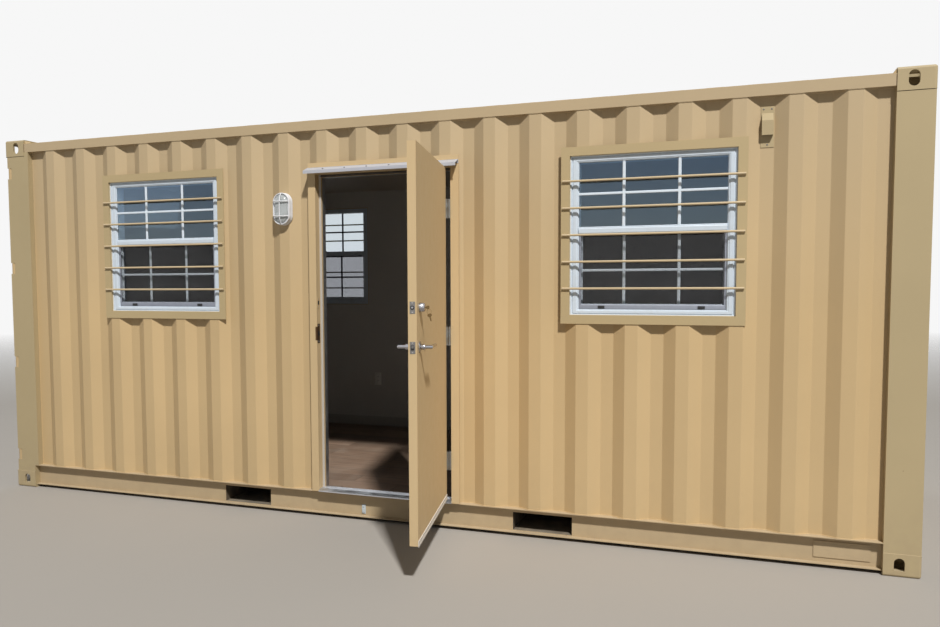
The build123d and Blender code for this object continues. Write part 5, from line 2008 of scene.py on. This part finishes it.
@dataclass
class BulkheadLight:
    """Oval bulkhead light: deep housing, stepped glass and a guard of round bars."""

    x: float = -0.667
    z: float = 2.008
    wall_y: float = -1.212
    tall: float = 0.209
    wide: float = 0.124
    base_rim: float = 0.004
    base_depth: float = 0.036
    lens_margin: float = 0.014
    lens_rim: float = 0.003
    lens_crown: float = 0.0135
    glass_steps: int = 14
    glass_step: float = 0.0012
    glass_smooth: float = 20.0
    bar_radius: float = 0.0034
    ring_inset: float = 0.002
    guard_rise: float = 0.047
    guard_crown: float = 0.024

    def loop(self, inset: float, out: float) -> list[Vector]:
        """Slot-shaped loop round the light, inside the outline and out from the wall."""
        outline = slot_outline(self.tall - 2 * inset, self.wide - 2 * inset, 24)
        return [wall_place(self.x, self.wall_y, self.z) @ Vector((u, v, out)) for u, v in outline]

    def glass(self) -> Shell:
        """Domed glass pressed in steps that run round it.

        Returns:
            The glass.
        """
        reach = self.wide / 2 - self.lens_margin
        rings = [self.loop(self.lens_margin, self.base_depth - 0.001)]
        for i in range(self.glass_steps):
            share = i / self.glass_steps
            height = self.lens_rim + self.lens_crown * math.sqrt(1.0 - (1.0 - share) ** 2)
            out = self.base_depth + height
            inset = self.lens_margin + reach * 0.9 * share
            rings.append(self.loop(inset, out - self.glass_step * share))
            rings.append(self.loop(inset + reach * 0.45 / self.glass_steps, out))
        return Shell().loft(rings)

    def guard(self) -> Shell:
        """Ring on the housing with one upright and two level bars domed over the glass.

        Returns:
            The guard.
        """
        radius, inset = self.bar_radius, self.ring_inset + self.bar_radius
        foot = self.base_depth + radius
        place = wall_place(self.x, self.wall_y, self.z)
        guard = Shell().pipe(self.loop(inset, foot), radius, 10, closed=True)
        front = foot + self.guard_crown - 2 * radius + 0.004
        tall, wide = self.tall / 2 - inset, self.wide / 2 - inset
        upright = [place @ Vector((0.0, up, out)) for up, out in arch(tall, foot, front)]
        guard.pipe(upright, radius, 10)
        for level in (-self.guard_rise, self.guard_rise):
            bar = [place @ Vector((across, level, out)) for across, out in arch(wide, foot, front)]
            guard.pipe(bar, radius, 10)
        return guard

    def build(self) -> None:
        """Make the housing, the glass and the guard."""
        rim, deep, margin = self.base_rim, self.base_depth, self.lens_margin
        steps = [(0.0, 0.0), (0.0, rim), (0.0015, rim + 0.002), (0.0025, deep - 0.006)]
        steps += [(0.001, deep - 0.004), (0.001, deep - 0.001), (0.002, deep), (margin, deep)]
        steps.append((margin + 0.002, deep - 0.002))
        housing, slot = Shell().loft([self.loop(*step) for step in steps]), "light_white"
        made("light_housing", housing, HOUSING_WHITE, slot, "light_base")
        glass, smooth = self.glass(), self.glass_smooth
        made("light_glass", glass, JAR_GLASS, "light_glass", "light_lens", smooth=smooth)
        made("light_guard_bars", self.guard(), HOUSING_WHITE, slot, "light_guard")


def arch(reach: float, foot: float, front: float, steps: int = 20) -> list[Range]:
    """Flat-topped arch from -reach to reach, as (place, height)."""
    spots = [2.0 * i / steps - 1.0 for i in range(steps + 1)]
    return [(reach * spot, foot + (front - foot) * (1.0 - spot**4)) for spot in spots]


@dataclass
class Vent:
    """Screws of the wall vent and the slats under its hood, near black as painted shade."""

    shop: Workshop
    plate: float = 0.003
    screws_in: float = 0.014
    screws_apart: float = 0.040
    slat_count: int = 9
    slat_pitch: float = 0.010
    slat_half: Triple = (0.025, 0.0006, 0.004)
    slat_tilt: float = math.radians(35.0)
    slats_rise: float = 0.067

    def build(self) -> None:
        """Screw the plate at three places and close the hood's throat with slats, darkened as
        painted shade.
        """
        low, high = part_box("vent_cover")
        middle, y, aim = (low.x + high.x) / 2, high.y - self.plate, Vector((0.0, -1.0, 0.0))
        top, foot = high.z - self.screws_in, low.z + self.screws_in
        spots = [(Vector((x, y, top)), aim) for x in about(middle, self.screws_apart / 2)]
        spots.append((Vector((middle, y, foot)), aim))
        head, slot = screw_head(0.0048, 0.0020), "container_paint"
        self.shop.scatter("vent_screws", head, DULL_STEEL, slot, spots)
        slat = Shell().block(*(about(0.0, half) for half in self.slat_half))
        slat.moved(Matrix.Rotation(self.slat_tilt, 4, "X"))
        start = (middle, y - 0.004, low.z + self.slats_rise)
        line = {"Count": self.slat_count, "Start": start, "Step": (0.0, 0.0, self.slat_pitch)}
        # The slats are real; their brown-black colour paints the shade inside the hood's throat.
        self.shop.row("vent_slats", slat, SHADE_BROWN, slot, **line)


# Cargo-door end


@dataclass
class CargoEnd:
    """Fixings of the cargo doors: bracket bolts and hinge pins."""

    shop: Workshop
    bar_x: float = -3.002
    bar_radius: float = 0.017
    bar_ys: tuple[float, ...] = (-0.868, -0.256, 0.256, 0.868)
    bracket_levels: tuple[float, ...] = (0.239, 0.773, 1.307, 1.841, 2.375)
    bolt_half: Range = (0.029, 0.016)
    hinge_x: float = -2.999
    hinge_y: float = 1.200
    hinge_zs: tuple[float, ...] = (0.246, 0.9473, 1.6487, 2.350)
    hinge_half: float = 0.040

    def build(self) -> None:
        """Bolt the brackets and cap the hinge pins."""
        aim, outer, (half_y, half_z) = Vector((-1.0, 0.0, 0.0)), self.bar_x, self.bolt_half
        outer -= self.bar_radius / 2
        spots = []
        for y in self.bar_ys:
            for z in self.bracket_levels:
                corners = [(v, w) for v in about(y, half_y) for w in about(z, half_z)]
                spots += [(Vector((outer, v, w)), aim) for v, w in corners]
        bolt, slot = hex_head(0.014, 0.006), "container_paint"
        self.shop.scatter("bracket_bolts", bolt, CARGO_PAINT, slot, spots)
        cap = [(0.0, 0.0), (0.010, 0.0), (0.010, 0.003), (0.007, 0.006), (0.0, 0.0065)]
        pins = Shell()
        for side in (-1, 1):
            for z in self.hinge_zs:
                for way in (-1, 1):
                    point = (self.hinge_x, side * self.hinge_y, z + way * self.hinge_half)
                    pins.turned(cap, axis_place(point, (0.0, 0.0, way)), 16)
        made("cargo_hinge_pins", pins, CARGO_PAINT, slot)


# Room


@dataclass
class Outlet:
    """Wall outlet plate with two sockets."""

    steps: tuple[Range, ...] = ((0.0, 0.0), (0.0, 0.0025), (0.003, 0.0045))
    socket_rise: float = 0.0195
    socket_radius: float = 0.0165
    socket_depth: float = 0.0054
    slot_across: float = 0.006

    def build(self) -> None:
        """Make the bevelled plate, its socket faces and their slots as patches of painted shade."""
        low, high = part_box("wall_outlet")
        x, z, y = (low.x + high.x) / 2, (low.z + high.z) / 2, high.y
        rings = []
        for inset, out in self.steps:
            left, right = about(x, (high.x - low.x) / 2 - inset)
            foot, top = about(z, (high.z - low.z) / 2 - inset)
            corners = ((left, foot), (right, foot), (right, top), (left, top))
            rings.append([Vector((u, y - out, v)) for u, v in corners])
        plate, slots = Shell().loft(rings), Shell()
        for level in about(z, self.socket_rise):
            place = axis_place((x, y, level), (0.0, -1.0, 0.0))
            plate.disc(self.socket_radius, self.socket_depth, place)
            for across in about(x, self.slot_across):
                tall = (level - 0.003, level + 0.005)
                # Near-black slots: painted shade in the socket holes.
                slots.block(about(across, 0.001), (y - 0.0058, y - 0.005), tall)
        made("outlet_plate", plate, OUTLET, "outlet_plastic", "wall_outlet", bevel=0.0005)
        made("outlet_slots", slots, HOLE_SHADE, "outlet_plastic")


# Studio


@dataclass(frozen=True)
class Lamp:
    """Square soft light that looks at a target."""

    name: str
    place: Triple
    target: Triple
    size: float
    power: float
    colour: Colour

    def light(self) -> None:
        """Hang the lamp."""
        data = bpy.data.lights.new(self.name, "AREA")
        data.size = self.size
        data.energy = self.power
        data.color = self.colour
        lamp = bpy.data.objects.new(self.name, data)
        aim = Vector(self.target) - Vector(self.place)
        lamp.location = self.place
        lamp.rotation_euler = aim.to_track_quat("-Z", "Y").to_euler()
        bpy.context.scene.collection.objects.link(lamp)


@dataclass
class StudioSet:
    """Pale floor, soft lights, backdrop and the camera of the photograph."""

    floor_half: float = 40.0
    floor_colour: Colour = (0.37, 0.348, 0.32)
    backdrop: Colour = (0.93, 0.93, 0.93)
    fill_colour: Colour = (0.90, 0.95, 1.0)
    fill: float = 0.085
    camera_place: Triple = (2.0819, -5.7296, 1.5108)
    yaw: float = 19.181
    pitch: float = -3.506
    roll: float = 0.202
    focal_pixels: float = 789.24
    centre_pixel: Range = (455.795, 333.739)
    sensor: float = 36.0
    clip_end: float = 200.0
    lamps: tuple[Lamp, ...] = (
        Lamp("key", (12.2, -20.0, 26.6), (0.0, -1.2, 1.2), 1.8, 14000.0, (1.0, 0.98, 0.95)),
        Lamp("side", (-9.0, -7.0, 5.0), (0.0, 0.0, 1.2), 5.0, 40.0, (0.94, 0.97, 1.0)),
        Lamp("rear", (-4.0, 10.0, 8.0), (0.0, 0.0, 1.2), 5.0, 300.0, (1.0, 1.0, 1.0)),
    )

    def floor(self) -> None:
        """Lay the floor under the castings."""
        near, far = about(0.0, self.floor_half)
        corners = [(near, near, 0), (far, near, 0), (far, far, 0), (near, far, 0)]
        mesh = bpy.data.meshes.new("studio_floor")
        mesh.from_pydata(corners, [], [(0, 1, 2, 3)])
        piece = bpy.data.objects.new("studio_floor", mesh)
        mesh.materials.append(Studio("studio_floor", self.floor_colour).material())
        bpy.context.scene.collection.objects.link(piece)

    def world(self) -> None:
        """Light the room evenly, with a paler backdrop for what is seen or mirrored."""
        world = bpy.data.worlds.new("studio")
        bpy.context.scene.world = world
        world.use_nodes = True
        sky = Graph(world.node_tree)
        sky.nodes.clear()
        rays = sky.add("ShaderNodeLightPath", {}).outputs
        mirrored = sky.math("MAXIMUM", rays["Is Glossy Ray"], rays["Is Transmission Ray"])
        seen = sky.math("MAXIMUM", rays["Is Camera Ray"], mirrored)
        fill = {"Color": self.fill_colour, "Strength": self.fill}
        light = sky.add("ShaderNodeBackground", fill).outputs[0]
        view = sky.add("ShaderNodeBackground", {"Color": self.backdrop}).outputs[0]
        mix = sky.add("ShaderNodeMixShader", {"Fac": seen, "Shader": light, "Shader_001": view})
        sky.add("ShaderNodeOutputWorld", {"Surface": mix.outputs[0]})

    def camera(self) -> None:
        """Stand the camera where the photograph was taken from."""
        data = bpy.data.cameras.new("camera")
        data.sensor_fit = "HORIZONTAL"
        data.sensor_width = self.sensor
        data.lens = self.focal_pixels * self.sensor / IMAGE_WIDTH
        data.shift_x = (IMAGE_WIDTH / 2 - self.centre_pixel[0]) / IMAGE_WIDTH
        data.shift_y = (self.centre_pixel[1] - IMAGE_HEIGHT / 2) / IMAGE_WIDTH
        data.clip_end = self.clip_end
        place = Matrix.Translation(Vector(self.camera_place))
        for degrees, axis in ((self.yaw, "Z"), (self.pitch, "X"), (self.roll, "Y")):
            place = place @ Matrix.Rotation(math.radians(degrees), 4, axis)
        camera = bpy.data.objects.new("camera", data)
        camera.matrix_world = place @ Matrix.Rotation(math.pi / 2, 4, "X")
        bpy.context.scene.collection.objects.link(camera)
        bpy.context.scene.camera = camera

    def build(self) -> None:
        """Set the floor, the backdrop, the lights and the camera."""
        bpy.context.scene.view_settings.view_transform = "Standard"
        self.floor()
        self.world()
        for lamp in self.lamps:
            lamp.light()
        self.camera()


def dress_nodes(nodes: dict[str, Object]) -> None:
    """Give every frame node its finish.

    Args:
        nodes: Objects of the frame by node name.
    """
    finishes = {name: finish for finish, names in FINISHED_NODES.items() for name in names.split()}
    for name, node in nodes.items():
        node.data.materials.clear()
        node.data.materials.append(finishes[name].material())
        LOG.info("%s: %s", name, finishes[name].name)


def build_windows(shop: Workshop) -> None:
    """Make the two near windows and the one in the back wall.

    Args:
        shop: Workshop that makes them.
    """
    windows = [
        Window(shop, "window_left", -1.632, Side.NEAR),
        Window(shop, "window_right", 1.657, Side.NEAR),
        Window(shop, "window_back", -1.632, Side.FAR),
    ]
    for window in windows:
        window.frame()
        window.sash()
        window.panes()
        window.muntins()
        window.screen()
        window.caulk()
    GuardBars(shop, windows).build()


def build_door(shop: Workshop) -> None:
    """Make the trim of the personnel door and its frame.

    Args:
        shop: Workshop that makes them.
    """
    frame, leaf = DoorFrame(shop), DoorLeaf(shop)
    for step in (frame.strip, frame.strikes, frame.threshold_ribs, frame.cap_trim):
        step()
    for step in (leaf.trim, leaf.collars, leaf.bolts, leaf.key, leaf.sweep_trim, leaf.hinge_screws):
        step()


def main() -> None:
    """Dress the frame, add every sub-assembly, and set the studio."""
    logging.basicConfig(level=logging.INFO, format="%(name)s: %(message)s")
    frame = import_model()
    shop = Workshop.opened()
    dress_nodes(frame["nodes"])
    Skin(shop).build()
    CornerFrame(shop).build()
    build_windows(shop)
    build_door(shop)
    BulkheadLight().build()
    Vent(shop).build()
    CargoEnd(shop).build()
    Outlet().build()
    StudioSet().build()


if __name__ == "__main__":
    main()
